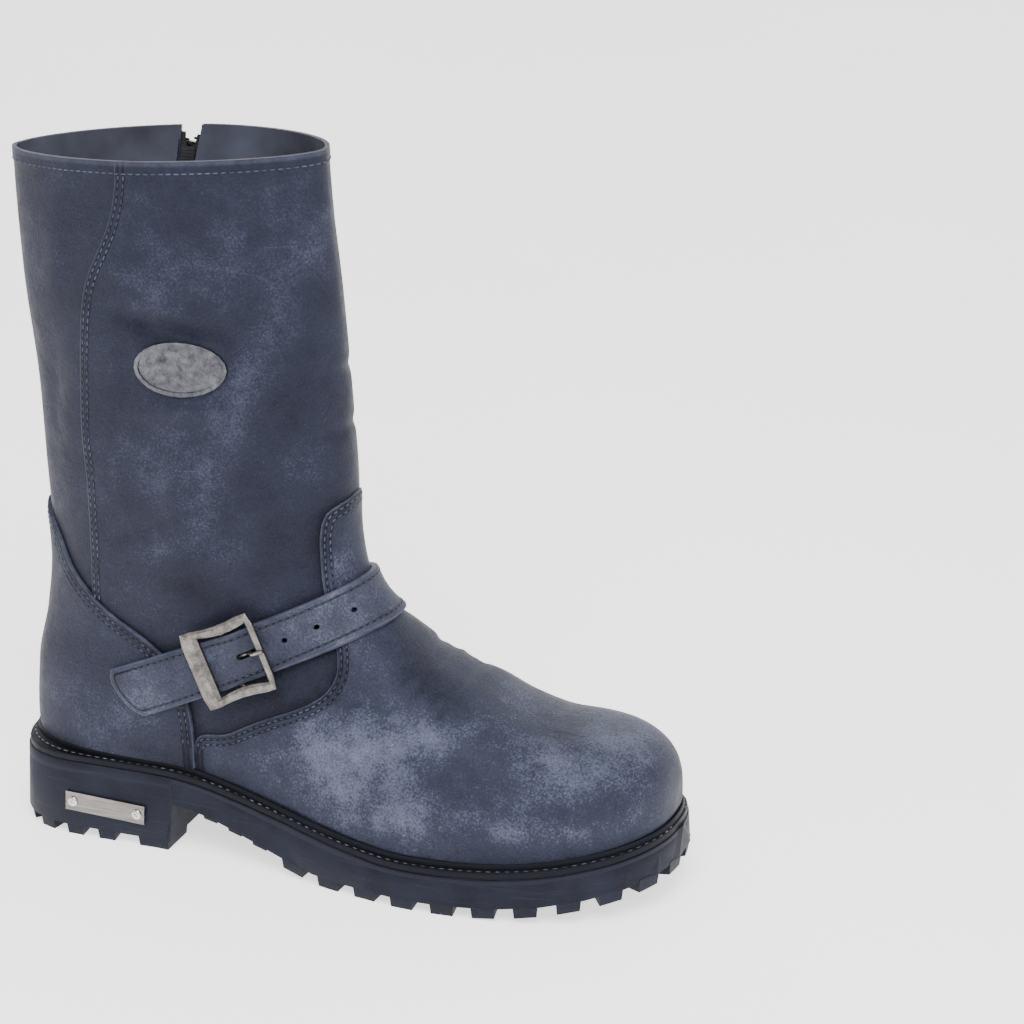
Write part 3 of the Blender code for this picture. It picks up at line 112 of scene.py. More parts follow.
RINGS = (
    # v, back, front_x, front_z, late
    (0.00, 0.000, 0.987, 0.103, 1.0),
    (0.06, 0.030, 0.987, 0.150, 1.05),
    (0.12, 0.058, 0.978, 0.187, 1.2),
    (0.16, 0.083, 0.952, 0.212, 1.4),
    (0.22, 0.111, 0.889, 0.222, 1.65),
    (0.28, 0.143, 0.813, 0.234, 1.75),
    (0.34, 0.178, 0.740, 0.263, 1.8),
    (0.40, 0.217, 0.663, 0.296, 1.55),
    (0.46, 0.263, 0.594, 0.346, 1.25),
    (0.53, 0.326, 0.540, 0.424, 1.0),
    (0.62, 0.436, 0.521, 0.530, 1.0),
    (0.80, 0.683, 0.505, 0.748, 1.0),
    (1.00, 0.968, 0.486, 1.000, 1.0),
)
FAN = (
    # v, start, reach, width
    (0.00, 0.492, 0.476, 0.421),
    (0.16, 0.476, 0.444, 0.404),
    (0.28, 0.413, 0.381, 0.386),
    (0.46, 0.311, 0.270, 0.351),
    (0.62, 0.279, 0.238, 0.351),
    (1.00, 0.251, 0.238, 0.380),
)


def column(table, number, at):
    """Smooth reading of one column, through the table's rows, without overshoot."""
    xs = np.array([row[0] for row in table], float)
    ys = np.array([row[number] for row in table], float)
    at = np.clip(np.asarray(at, float), xs[0], xs[-1])
    step = np.diff(xs)
    rise = np.diff(ys) / step
    slope = np.zeros(len(xs))
    slope[0] = rise[0]
    slope[-1] = rise[-1]
    for i in range(1, len(xs) - 1):
        if rise[i - 1] * rise[i] > 0:
            before = 2 * step[i] + step[i - 1]
            after = step[i] + 2 * step[i - 1]
            slope[i] = (before + after) / (before / rise[i - 1] + after / rise[i])
    i = np.clip(np.searchsorted(xs, at, side="right") - 1, 0, len(xs) - 2)
    t = (at - xs[i]) / step[i]
    start = (1 + 2 * t) * (1 - t) ** 2 * ys[i] + t * (1 - t) ** 2 * step[i] * slope[i]
    end = t * t * (3 - 2 * t) * ys[i + 1] + t * t * (t - 1) * step[i] * slope[i + 1]
    return start + end


def ease(t):
    t = np.clip(t, 0, 1)
    return t * t * (3 - 2 * t)


def station(x):
    return (np.asarray(x, float) - BACK) / LENGTH


def sole_top(x):
    """Height of the rubber's upper edge."""
    s = station(x)
    drop = (FOREFOOT_HEIGHT - HEEL_HEIGHT) * ease((s - 0.24) / 0.40)
    return HEEL_HEIGHT + drop + TOE_SPRING * np.clip((s - 0.68) / 0.32, 0, 1) ** 1.8


def welt_top(x):
    return sole_top(x) + GAP + WELT_THICK


def half_width(s, inner):
    return column(OUTLINE, 2 if inner else 1, s) * BALL_WIDTH


def centre_line(x):
    """The toe turns to the inner side."""
    return TOE_TURN * BALL_WIDTH * np.clip((station(x) - 0.5) / 0.5, 0, 1) ** 2


def plan_share(x, y, inset):
    """1 on the sole's outline drawn in by the inset, less inside it."""
    s = station(x)
    off = y - centre_line(x)
    wide = np.where(off < 0, half_width(s, False), half_width(s, True)) - inset
    toe = np.clip((s - TOE_ROUND_FROM) * LENGTH / ((1 - TOE_ROUND_FROM) * LENGTH - inset), 0, None)
    heel = np.clip((HEEL_ROUND_TO - s) * LENGTH / (HEEL_ROUND_TO * LENGTH - inset), 0, None)
    square = np.where(toe > 0, TOE_SQUARE, HEEL_SQUARE)
    return (np.maximum(toe, heel) ** square + (np.abs(off) / wide) ** square) ** (1 / square)


def foot_field(x, y, z):
    s = np.clip(station(x), 0, 1)
    low = sole_top(x)
    ridge = low + column(FOOT, 1, s) * INSTEP
    side = column(FOOT, 2, s)
    top = column(FOOT, 3, s)
    widest = low + WIDEST_ABOVE_SOLE
    off = y - centre_line(x)
    wide = np.where(off < 0, half_width(s, False), half_width(s, True)) - LEDGE
    toe_length = (1 - TOE_ROUND_FROM) * LENGTH - LEDGE * 0.8
    toe = np.clip((station(x) - TOE_ROUND_FROM) * LENGTH / toe_length, 0, None)
    plan = (toe ** TOE_SQUARE + (np.abs(off) / wide) ** TOE_SQUARE) ** (1 / TOE_SQUARE)
    above = np.clip((z - widest) / (ridge - widest), 0, None)
    below = np.clip((widest - z) / WIDEST_ABOVE_SOLE, 0, None)
    behind = np.clip((0.30 - station(x)) / 0.22, 0, None)
    total = (plan * (1 + FEATHER_TUCK * below ** 2)) ** side + above ** top + behind ** 3
    return (total ** (2 / (side + top)) - 1) * FIELD_SCALE


def shaft_field(x, y, z):
    share = (z - HEEL_HEIGHT) / SHAFT_HEIGHT
    back = BACK + column(SHAFT, 1, share) * LENGTH
    front = BACK + column(SHAFT, 2, share) * LENGTH
    outer = column(SHAFT, 3, share) * BALL_WIDTH
    inner = column(SHAFT, 4, share) * BALL_WIDTH
    square = column(SHAFT, 5, share)
    wide = np.where(y < 0, outer, inner)
    along = np.abs(x - (back + front) / 2) / ((front - back) / 2)
    return ((along ** square + (np.abs(y) / wide) ** square) ** (1 / square) - 1) * FIELD_SCALE


def field(x, y, z):
    """Under zero inside the boot's skin."""
    foot = foot_field(x, y, z)
    shaft = shaft_field(x, y, z)
    over_ridge = np.exp(-(y / BLEND_WIDTH) ** 2) * ease((station(x) - 0.26) / 0.16)
    blend = BLEND_SIDE + BLEND_FRONT * over_ridge
    share = np.clip(0.5 + 0.5 * (shaft - foot) / blend, 0, 1)
    return shaft * (1 - share) + foot * share - blend * share * (1 - share)


def slopes(points, step):
    """Slope of the field at the points, from its change over a small step each way."""
    moves = np.eye(3) * step
    rises = [field(*np.moveaxis(points + move, -1, 0)) - field(*np.moveaxis(points - move, -1, 0))
             for move in moves]
    return np.stack(rises, -1) / (2 * step)


def normals(points):
    """Outward directions of the skin at the points."""
    slope = slopes(points, 0.0004)
    return slope / np.linalg.norm(slope, axis=-1, keepdims=True)


def ring_height(v, x):
    """Height over x of the net's ring v, which follows the sole low down."""
    back = HEEL_HEIGHT + column(RINGS, 1, v) * SHAFT_HEIGHT
    front_x = BACK + column(RINGS, 2, v) * LENGTH
    front = column(RINGS, 3, v) * HEIGHT
    share = np.clip((x - BACK) / (front_x - BACK), 0, 1.6)
    height = back + (front - back) * share ** column(RINGS, 4, v)
    chord = HEEL_HEIGHT + (RINGS[0][3] * HEIGHT - HEEL_HEIGHT) * share
    return height + (1 - ease(v / 0.30)) * (sole_top(x) - chord)


def furthest(inside, count, low, high, tries=30):
    """Largest shares that are still inside, one for each ray, found by halving."""
    low = np.full(count, low)
    high = np.full(count, high)
    for _ in range(tries):
        middle = (low + high) / 2
        kept = inside(middle)
        low = np.where(kept, middle, low)
        high = np.where(kept, high, middle)
    return low


def cast(angle, start_x, reach, width, height_over):
    """Skin points along rays in plan, at a height that depends on x."""
    run_x = reach * np.cos(angle)
    run_y = width * np.sin(angle)
    share = furthest(lambda m: field(start_x + m * run_x, m * run_y, height_over(start_x + m * run_x)) < 0,
                     np.shape(run_x), 0.2, 1.9)
    x = start_x + share * run_x
    return np.stack([x, share * run_y, height_over(x)], -1)


def onto_last(points, lift=0.0):
    """Points moved onto the last and then out by the lift, with their outward directions."""
    points = np.array(points, float)
    for _ in range(5):
        slope = slopes(points, 0.0003)
        points = points - slope * (field(*points.T) / (slope**2).sum(1))[:, None]
    outward = slope / np.linalg.norm(slope, axis=1, keepdims=True)
    return points + outward * np.reshape(lift, (-1, 1)), outward


def last_sheet(columns, rows, low, high):
    """Fine net on the last between two ring heights, as points, outward directions and faces."""
    v = np.linspace(low, high, rows)[:, None]
    angle = np.linspace(0, 2 * math.pi, columns, endpoint=False)[None, :]
    v, angle = np.broadcast_arrays(v, angle)
    start = BACK + column(FAN, 1, v) * LENGTH
    reach = column(FAN, 2, v) * LENGTH
    width = column(FAN, 3, v) * BALL_WIDTH

    def height(x):
        return ring_height(v, x) + (1 - ease(v / 0.10)) * (WELT_THICK + GAP * 2)

    points = cast(angle, start, reach, width, height).reshape(-1, 3)
    grid = np.arange(rows * columns).reshape(rows, columns)
    right = np.roll(grid, -1, axis=1)
    faces = np.stack([grid[:-1], right[:-1], right[1:], grid[1:]], -1).reshape(-1, 4)
    return points, normals(points), faces


def smooth_line(rows, spacing):
    """Round curve through rows of numbers, with a point about every spacing."""
    rows = np.array(rows, float)
    padded = np.vstack([2 * rows[0] - rows[1], rows, 2 * rows[-1] - rows[-2]])
    line = []
    for a, b, c, d in zip(padded[:-3], padded[1:-2], padded[2:-1], padded[3:]):
        count = max(2, int(np.linalg.norm(c - b) / spacing) + 1)
        t = np.linspace(0, 1, count, endpoint=False)[:, None]
        line.append(0.5 * (2 * b + (c - a) * t + (2 * a - 5 * b + 4 * c - d) * t**2
                           + (3 * b - a - 3 * c + d) * t**3))
    return np.vstack(line + [rows[-1:]])


def from_side(rows, inner):
    """Points on the last where a line seen from the side, in shares of length and height, falls."""
    rows = np.array(rows, float)
    x = BACK + rows[:, 0] * LENGTH
    z = rows[:, 1] * HEIGHT
    sign = 1.0 if inner else -1.0
    off = furthest(lambda m: field(x, sign * m, z) < 0, len(x), 0.0005, 0.09)
    return onto_last(np.stack([x, sign * off, z], -1))[0]


def near_line(points, line):
    """Distance of each point from a line."""
    best = np.full(len(points), 1.0)
    for a, b in zip(line[:-1], line[1:]):
        run = b - a
        share = np.clip(((points - a) @ run) / (run @ run), 0, 1)
        best = np.minimum(best, np.linalg.norm(points - a - share[:, None] * run, axis=1))
    return best


def within(points, corners):
    """True where points seen from the side lie within corners given in shares."""
    x = (points[:, 0] - BACK) / LENGTH
    z = points[:, 2] / HEIGHT
    found = np.zeros(len(points), bool)
    for (x0, z0), (x1, z1) in zip(corners, list(corners[1:]) + [corners[0]]):
        if z0 != z1:
            crosses = ((z0 > z) != (z1 > z)) & (x < (x1 - x0) * (z - z0) / (z1 - z0) + x0)
            found ^= crosses
    return found


# Upper leather. Oiled, sanded cowhide, 2 mm thick, pulled damp over the last. The dye is blue black and
# is rubbed back by hand, so that crowns and edges turn pale blue grey while hollows stay nearly black.
# Part of the pale crowns and near black hollows is painted light and painted shade.
VAMP_STEP = 0.0011
COUNTER_THICK = 0.0017
WALL = 0.0022
SHAFT_THICK = WALL - 0.00005
VAMP_EDGE = (
    # outer_x, outer_z, inner_x, inner_z
    (0.309, 0.070, 0.226, 0.070),
    (0.309, 0.171, 0.226, 0.171),
    (0.357, 0.189, 0.310, 0.184),
    (0.416, 0.220, 0.405, 0.216),
    (0.463, 0.241, 0.460, 0.240),
    (0.501, 0.263, 0.501, 0.263),
    (0.520, 0.285, 0.520, 0.285),
    (0.521, 0.311, 0.521, 0.311),
    (0.502, 0.353, 0.502, 0.353),
    (0.488, 0.401, 0.488, 0.401),
    (0.484, 0.440, 0.484, 0.440),
    (0.484, 0.480, 0.484, 0.480),
    (0.488, 0.503, 0.488, 0.503),
    (0.497, 0.515, 0.497, 0.515),
    (0.512, 0.525, 0.512, 0.525),
    (0.560, 0.550, 0.560, 0.550),
)
COUNTER_EDGE = (
    # outer_x, outer_z, inner_x, inner_z
    (0.000, 0.480, 0.000, 0.480),
    (0.030, 0.472, 0.030, 0.470),
    (0.056, 0.460, 0.054, 0.445),
    (0.084, 0.433, 0.084, 0.407),
    (0.106, 0.397, 0.118, 0.370),
    (0.137, 0.369, 0.150, 0.335),
    (0.181, 0.340, 0.177, 0.305),
    (0.222, 0.319, 0.196, 0.268),
    (0.262, 0.292, 0.208, 0.235),
    (0.290, 0.255, 0.216, 0.200),
    (0.303, 0.210, 0.222, 0.170),
    (0.307, 0.165, 0.226, 0.130),
    (0.308, 0.070, 0.226, 0.070),
)
ZIP_PATH = (
    # x, z
    (0.222, 1.040),
    (0.205, 0.930),
    (0.178, 0.855),
    (0.154, 0.760),
    (0.149, 0.670),
    (0.148, 0.590),
    (0.150, 0.500),
    (0.150, 0.430),
    (0.149, 0.375),
)
SEAM_LINE = (
    # x, z
    (0.219, 1.060),
    (0.217, 0.960),
    (0.205, 0.903),
    (0.186, 0.862),
    (0.168, 0.826),
    (0.157, 0.790),
    (0.151, 0.740),
    (0.147, 0.670),
    (0.145, 0.600),
    (0.150, 0.530),
    (0.149, 0.445),
    (0.146, 0.370),
    (0.146, 0.250),
    (0.146, 0.060),
)
ZIP_SLOT = 0.0075
ZIP_FOOT = ZIP_PATH[-1][1]
SLIDER_DROP = 0.0185
SIDE_STEP = 0.012
LINE_STEP = 0.003
AHEAD_OF_BOOT = 1.2
BEHIND_BOOT = -0.2
UNDER_UPPER = 0.02
OVER_RIDGE = 0.55
STITCH_ROWS = (0.0019, 0.0044)
FOLD_UNIT = 0.002
# Soft forms in the leather: side is -1 outer, 1 inner, 0 both; x, z, reach and width are shares of
# length and height, angle is in degrees from level, rise counts fold units and is negative in a hollow
FORMS = (
    # side, x, z, angle, reach, width, rise
    (-1, 0.300, 0.765, -10, 0.070, 0.012, -1.3),
    (-1, 0.375, 0.735, -55, 0.040, 0.014, -0.8),
    (-1, 0.405, 0.690, 65, 0.050, 0.016, 0.9),
    (-1, 0.330, 0.655, 5, 0.080, 0.016, 0.8),
    (-1, 0.225, 0.700, 80, 0.060, 0.014, -0.6),
    (-1, 0.430, 0.760, 70, 0.070, 0.018, -0.8),
    (-1, 0.430, 0.885, 35, 0.080, 0.014, 0.7),
    (-1, 0.400, 0.855, 32, 0.090, 0.010, -0.5),
    (-1, 0.300, 0.560, 75, 0.060, 0.018, 1.0),
    (-1, 0.365, 0.540, 60, 0.060, 0.016, -0.8),
    (-1, 0.420, 0.520, 50, 0.050, 0.015, 0.7),
    (-1, 0.240, 0.480, 30, 0.050, 0.014, -0.7),
    (-1, 0.330, 0.440, 20, 0.060, 0.012, 0.5),
    (-1, 0.090, 0.640, 85, 0.080, 0.020, -0.6),
    (-1, 0.110, 0.860, 80, 0.080, 0.022, 0.6),
    (1, 0.300, 0.800, 20, 0.080, 0.016, -1.1),
    (1, 0.360, 0.720, -25, 0.070, 0.016, 1.1),
    (1, 0.300, 0.660, 15, 0.080, 0.014, -0.9),
    (1, 0.380, 0.590, -35, 0.060, 0.014, 0.9),
    (1, 0.290, 0.520, 30, 0.070, 0.014, -0.8),
    (1, 0.410, 0.860, 60, 0.070, 0.016, 0.8),
    (1, 0.080, 0.700, 85, 0.090, 0.020, -0.8),
    (0, 0.500, 0.620, 15, 0.030, 0.009, -0.5),
    (0, 0.500, 0.700, -12, 0.030, 0.010, -0.5),
    (0, 0.615, 0.300, 55, 0.030, 0.007, -0.6),
    (0, 0.645, 0.280, 55, 0.030, 0.006, 0.4),
    (0, 0.672, 0.262, 58, 0.028, 0.006, -0.5),
    (1, 0.560, 0.230, 50, 0.050, 0.007, -0.7),
    (1, 0.600, 0.205, 55, 0.055, 0.007, 0.5),
    (1, 0.635, 0.190, 58, 0.050, 0.006, -0.6),
    (-1, 0.560, 0.250, 40, 0.040, 0.008, 0.4),
    (-1, 0.840, 0.210, -8, 0.060, 0.012, -0.4),
)
# Paler for rubbed dye and painted light, and under zero darker for dark dye and painted shade, in the same terms
RUBS_LIGHT_AND_SHADE = (
    # side, x, z, angle, reach, width, amount
    (-1, 0.337, 0.848, 20, 0.110, 0.050, 0.35),
    (-1, 0.122, 0.900, 80, 0.080, 0.040, 0.20),
    (-1, 0.354, 0.590, 65, 0.090, 0.035, 0.40),
    (-1, 0.395, 0.680, 75, 0.070, 0.018, 0.45),
    (-1, 0.265, 0.440, 40, 0.060, 0.030, 0.40),
    (-1, 0.470, 0.860, 60, 0.110, 0.028, 0.45),
    (-1, 0.500, 0.430, 80, 0.060, 0.018, 0.50),
    (-1, 0.189, 0.184, 25, 0.090, 0.030, 0.45),
    (0, 0.560, 0.205, 15, 0.130, 0.055, 0.62),
    (-1, 0.600, 0.135, 5, 0.160, 0.040, 0.42),
    (0, 0.694, 0.235, 10, 0.080, 0.025, 0.35),
    (0, 0.885, 0.205, -5, 0.090, 0.035, 0.62),
    (0, 0.860, 0.135, 5, 0.120, 0.022, 0.30),
    (-1, 0.274, 0.569, 70, 0.070, 0.025, 0.30),
    (-1, 0.275, 0.755, -10, 0.090, 0.026, -0.60),
    (-1, 0.463, 0.700, 75, 0.110, 0.026, -0.40),
    (-1, 0.096, 0.600, 85, 0.110, 0.030, -0.25),
    (-1, 0.330, 0.385, -25, 0.120, 0.026, -0.55),
    (-1, 0.420, 0.455, 50, 0.070, 0.030, -0.35),
    (0, 0.640, 0.300, -40, 0.090, 0.022, -0.45),
    (-1, 0.051, 0.265, 80, 0.110, 0.022, -0.40),
    (0, 0.800, 0.092, 5, 0.180, 0.018, -0.50),
    (0, 0.300, 0.135, -10, 0.150, 0.018, -0.45),
    (-1, 0.437, 0.985, 0, 0.130, 0.018, -0.30),
    (-1, 0.430, 0.250, 20, 0.080, 0.026, -0.35),
    (0, 0.975, 0.165, 80, 0.070, 0.020, -0.20),
    (1, 0.330, 0.760, 20, 0.110, 0.050, 0.30),
    (1, 0.100, 0.820, 80, 0.090, 0.030, 0.35),
    (1, 0.340, 0.560, 60, 0.080, 0.030, 0.30),
    (1, 0.150, 0.240, 20, 0.090, 0.040, 0.30),
    (1, 0.420, 0.640, 75, 0.120, 0.030, -0.35),
)


def soft_sum(points, rows):
    """Sum of soft oval spots on the leather at the points."""
    x = points[:, 0]
    z = points[:, 2]
    total = np.zeros(len(points))
    for side, at_x, at_z, angle, reach, width, amount in rows:
        turn = math.radians(angle)
        dx = x - BACK - at_x * LENGTH
        dz = z - at_z * HEIGHT
        along = (dx * math.cos(turn) + dz * math.sin(turn)) / (reach * LENGTH)
        across = (dz * math.cos(turn) - dx * math.sin(turn)) / (width * HEIGHT)
        weight = 1.0 if side == 0 else 1 / (1 + np.exp(np.clip(-side * points[:, 1] / 0.004, -40, 40)))
        total += amount * weight * np.exp(-(along**2) - across**2)
    return total


def folds(points):
    """Rise of the leather's soft forms at the points."""
    return soft_sum(points, FORMS) * FOLD_UNIT


def far_front(rows):
    """Closes a side line with corners in front of the boot."""
    return [tuple(r) for r in rows] + [(AHEAD_OF_BOOT, rows[-1][1]), (AHEAD_OF_BOOT, rows[0][1])]


seam_side = smooth_line(SEAM_LINE, SIDE_STEP)
zip_side = smooth_line(list(ZIP_PATH) + [(0.149, 0.250), (0.149, 0.060)], SIDE_STEP)
seam = from_side(seam_side[seam_side[:, 1] < 1.02], False)
zip_line = from_side(zip_side[zip_side[:, 1] < 1.02], True)

vamp_outer = smooth_line([(r[0], r[1]) for r in VAMP_EDGE[:-1]], SIDE_STEP)
vamp_inner = smooth_line([(r[2], r[3]) for r in VAMP_EDGE[:-1]], SIDE_STEP)
ridge = (0.514, 0.527)


def round_the_boot(outer, middle, inner):
    """Edge line from the outer side over a point on the boot's middle to the inner side."""
    top = onto_last([(BACK + middle[0] * LENGTH, 0.0, middle[1] * HEIGHT)])[0] * np.array([1, 0, 1])
    rows = np.vstack([from_side(outer, False), top, from_side(inner, True)[::-1]])
    return onto_last(smooth_line(rows, LINE_STEP))[0]


def below(rows, height, reach):
    """Rows of a side line that are below a height, or behind a reach above it."""
    return rows[(rows[:, 1] < height) | (rows[:, 0] < reach)][::2]


vamp_edge = round_the_boot(below(vamp_outer, 0.45, 0.507), ridge, below(vamp_inner, 0.45, 0.507))
counter_outer = smooth_line([(r[0], r[1]) for r in COUNTER_EDGE], SIDE_STEP)
counter_inner = smooth_line([(r[2], r[3]) for r in COUNTER_EDGE], SIDE_STEP)
counter_edge = round_the_boot(counter_outer[counter_outer[:, 0] > 0.060][::-2], (0.040, 0.471),
                              counter_inner[counter_inner[:, 0] > 0.060][::-2])


def vamp_area(edge):
    """Corners round the vamp seen from the side, from its edge line."""
    return ([(AHEAD_OF_BOOT, UNDER_UPPER), (edge[0][0], UNDER_UPPER)] + [tuple(r) for r in edge]
            + [ridge, (AHEAD_OF_BOOT, OVER_RIDGE)])


def counter_area(edge):
    """Corners round the counter seen from the side, from its edge line."""
    return ([(BEHIND_BOOT, UNDER_UPPER), (edge[-1][0], UNDER_UPPER)] + [tuple(r) for r in edge[::-1]]
            + [(BEHIND_BOOT, edge[0][1])])


def signed(points, line, outer_area, inner_area):
    """Distance from a line, over zero within the areas seen from the two sides."""
    inside = np.where(points[:, 1] < 0, within(points, outer_area), within(points, inner_area))
    return near_line(points, line) * np.where(inside, 1.0, -1.0)


def from_vamp(points):
    return signed(points, vamp_edge, vamp_area(vamp_outer), vamp_area(vamp_inner))


def from_counter(points):
    return signed(points, counter_edge, counter_area(counter_outer), counter_area(counter_inner))


def from_seam(points):
    """Distance in front of the shaft's side seam, and of the zip's line on the inner side."""
    outer = near_line(points, seam) * np.where(within(points, far_front(seam_side)), 1.0, -1.0)
    inner = near_line(points, zip_line) * np.where(within(points, far_front(zip_side)), 1.0, -1.0)
    return np.where(points[:, 1] < 0, outer, inner)


def slot_half(points):
    """Half width of the zip's slit, which ends at its foot and spreads a little at the rim."""
    z = points[:, 2]
    rim = ease((z - HEIGHT + 0.020) / 0.018) * 0.0012
    foot = ease((z - ZIP_FOOT * HEIGHT + 0.0005) / 0.001)
    return np.where(points[:, 1] > 0, (ZIP_SLOT / 2 + rim) * foot, 0.0)


def from_rim(points):
    """Distance below the collar's edge."""
    x = points[:, 0]
    return np.maximum(ring_height(np.ones(len(x)), x) - points[:, 2], 0)


def add(tree, kind, links=(), **settings):
    """Adds one node with its settings, and what each input takes: a value or another node's output."""
    node = tree.nodes.new(kind)
    for key, value in settings.items():
        setattr(node, key, value)
    for socket, value in links:
        if isinstance(value, bpy.types.NodeSocket):
            tree.links.new(value, node.inputs[socket])
        else:
            node.inputs[socket].default_value = value
    return node


def linear(colour):
    """Linear colour from an sRGB hex value."""
    parts = [int(colour[i:i + 2], 16) / 255 for i in (1, 3, 5)]
    return tuple(c / 12.92 if c <= 0.04045 else ((c + 0.055) / 1.055) ** 2.4 for c in parts) + (1.0,)


def new_material(name):
    """Fresh material with its node tree, its shader and the place on the object."""
    material = bpy.data.materials.new(name)
    material.use_nodes = True
    tree = material.node_tree
    return material, tree, tree.nodes["Principled BSDF"], add(tree, "ShaderNodeTexCoord").outputs["Object"]


def noise(tree, place, size, detail=2.0, roughness=0.5):
    """Cloudy noise with patches of about the size, in metres."""
    return add(tree, "ShaderNodeTexNoise", (("Vector", place), ("Scale", 1 / size), ("Detail", detail),
                                            ("Roughness", roughness))).outputs["Fac"]


def combine(tree, operation, *values):
    return add(tree, "ShaderNodeMath", tuple(enumerate(values)), operation=operation).outputs[0]


def remap(tree, value, low, high, to_low=0.0, to_high=1.0, kind="LINEAR"):
    return add(tree, "ShaderNodeMapRange", (("Value", value), ("From Min", low), ("From Max", high),
                                            ("To Min", to_low), ("To Max", to_high)),
               interpolation_type=kind).outputs["Result"]


def tones(tree, value, low, high, between=None):
    """Colour over the value, from pairs of a position and an sRGB hex value."""
    ramp = add(tree, "ShaderNodeValToRGB", ((0, value),))
    stops = ramp.color_ramp.elements
    for stop, (position, colour) in zip(stops, (low, high)):
        stop.position = position
        stop.color = linear(colour)
    if between:
        stops.new(between[0]).color = linear(between[1])
    return ramp.outputs["Color"]


def relief(tree, shader, height, strength, distance):
    bump = add(tree, "ShaderNodeBump", (("Height", height), ("Strength", strength), ("Distance", distance)))
    tree.links.new(bump.outputs["Normal"], shader.inputs["Normal"])


def cool_sheen(shader, ior, level):
    shader.inputs["IOR"].default_value = ior
    shader.inputs["Specular IOR Level"].default_value = level
    shader.inputs["Specular Tint"].default_value = linear("#c4c8e2")


def rubbed_leather(name, rows, dark, dyed, pale, worn_edge):
    """Rubbed cowhide with painted light and shade: pebbled grain of 1.1 mm, cloudy dye, pale edges, a pressed
    groove per stitch row.
    """
    material, tree, shader, place = new_material(name)
    cool_sheen(shader, 1.36, 0.36)
    edge, rim, rub, dirt = [add(tree, "ShaderNodeAttribute", attribute_name=key).outputs["Fac"]
                            for key in ("edge", "rim", "rub", "dirt")]
    cloud = noise(tree, place, 0.034, 4.0, 0.55)
    mottle = noise(tree, place, 0.0075, 5.0, 0.6)
    speck = noise(tree, place, 0.0009, 2.0, 0.7)
    pebble = add(tree, "ShaderNodeTexVoronoi", (("Vector", place), ("Scale", 1 / 0.0011),
                                                ("Randomness", 1.0))).outputs["Distance"]
    turned = add(tree, "ShaderNodeMapping", (("Vector", place), ("Rotation", (0.0, 0.55, 0.0)),
                                             ("Scale", (1 / 0.030, 1 / 0.030, 1 / 0.0011)))).outputs["Vector"]
    streak = add(tree, "ShaderNodeTexNoise", (("Vector", turned), ("Scale", 1.0), ("Detail", 3.0),
                                              ("Roughness", 0.6), ("Distortion", 0.35))).outputs["Fac"]
    scratch = remap(tree, streak, 0.66, 0.76)
    # The starting tone holds the rubbed dye together with its painted light and painted shade.
    tone = combine(tree, "MULTIPLY_ADD", rub, 0.34, 0.42)
    # The last source darkens the leather along panel overlaps, partly dirt and partly painted shade.
    for source, middle, weight in ((cloud, 0.5, 0.62), (mottle, 0.5, 0.40), (speck, 0.5, 0.50),
                                   (pebble, 0.45, -0.16), (scratch, 0.0, 0.14), (dirt, 0.0, -0.42)):
        part = combine(tree, "SUBTRACT", source, middle)
        tone = combine(tree, "MULTIPLY_ADD", part, weight, tone)
    groove = None
    for row in rows:
        away = combine(tree, "ABSOLUTE", combine(tree, "SUBTRACT", edge, row))
        band = remap(tree, away, 0.75, 0.05, kind="SMOOTHSTEP")
        groove = band if groove is None else combine(tree, "MAXIMUM", groove, band)
    # The groove of each stitch row is darkened in colour as painted shade, besides its bump.
    tone = combine(tree, "MULTIPLY_ADD", groove, -0.35, tone)
    dyes = tones(tree, tone, (0.05, dark), (0.95, pale), (0.48, dyed))
    worn = combine(tree, "MAXIMUM", remap(tree, edge, 0.80, 0.15, kind="SMOOTHSTEP"),
                   remap(tree, rim, 2.6, 1.2, kind="SMOOTHSTEP"))
    worn = combine(tree, "MULTIPLY", worn, remap(tree, mottle, 0.30, 0.62, worn_edge * 0.3, worn_edge))
    colour = add(tree, "ShaderNodeMix", ((0, worn), (6, dyes), (7, linear("#4d505e"))),
                 data_type="RGBA").outputs[2]
    tree.links.new(colour, shader.inputs["Base Color"])
    tree.links.new(remap(tree, mottle, 0.3, 0.7, 0.46, 0.66), shader.inputs["Roughness"])
    height = combine(tree, "MULTIPLY", pebble, 0.050)
    for source, weight in ((speck, 0.045), (mottle, 0.22), (streak, 0.10), (groove, -0.28)):
        height = combine(tree, "MULTIPLY_ADD", source, weight, height)
    relief(tree, shader, height, 1.0, 0.0014)
    return material


def trim(points, outward, faces, keep, values):
    """Cuts a sheet along the line where keep is zero. Values are columns that go with the points."""
    inside = keep > 0
    count = inside[faces].sum(1)
    kept = faces[count == faces.shape[1]].tolist()
    made = {}
    extra = []
    for face in faces[(count > 0) & (count < faces.shape[1])].tolist():
        ring = []
        for a, b in zip(face, face[1:] + face[:1]):
            if inside[a]:
                ring.append(a)
            if inside[a] != inside[b]:
                pair = (min(a, b), max(a, b))
                if pair not in made:
                    made[pair] = len(points) + len(extra)
                    share = keep[pair[0]] / (keep[pair[0]] - keep[pair[1]])
                    extra.append((pair[0], pair[1], share))
                ring.append(made[pair])
        if len(ring) > 2:
            kept.append(ring)
    columns = np.column_stack([points, outward, values])
    if extra:
        first = np.array([e[0] for e in extra])
        second = np.array([e[1] for e in extra])
        share = np.array([e[2] for e in extra])[:, None]
        columns = np.vstack([columns, columns[first] * (1 - share) + columns[second] * share])
    used = np.unique(np.concatenate([np.array(f) for f in kept]))
    renumber = np.full(len(columns), -1)
    renumber[used] = np.arange(len(used))
    columns = columns[used]
    kept = [[int(renumber[i]) for i in face] for face in kept]
    return columns[:, :3], columns[:, 3:6], kept, columns[:, 6:]


def cut_edges(faces):
    """Edges of a sheet that only one face uses, in that face's direction."""
    seen = {}
    for face in faces:
        for a, b in zip(face, face[1:] + face[:1]):
            if (b, a) in seen:
                del seen[(b, a)]
            else:
                seen[(a, b)] = True
    return list(seen)


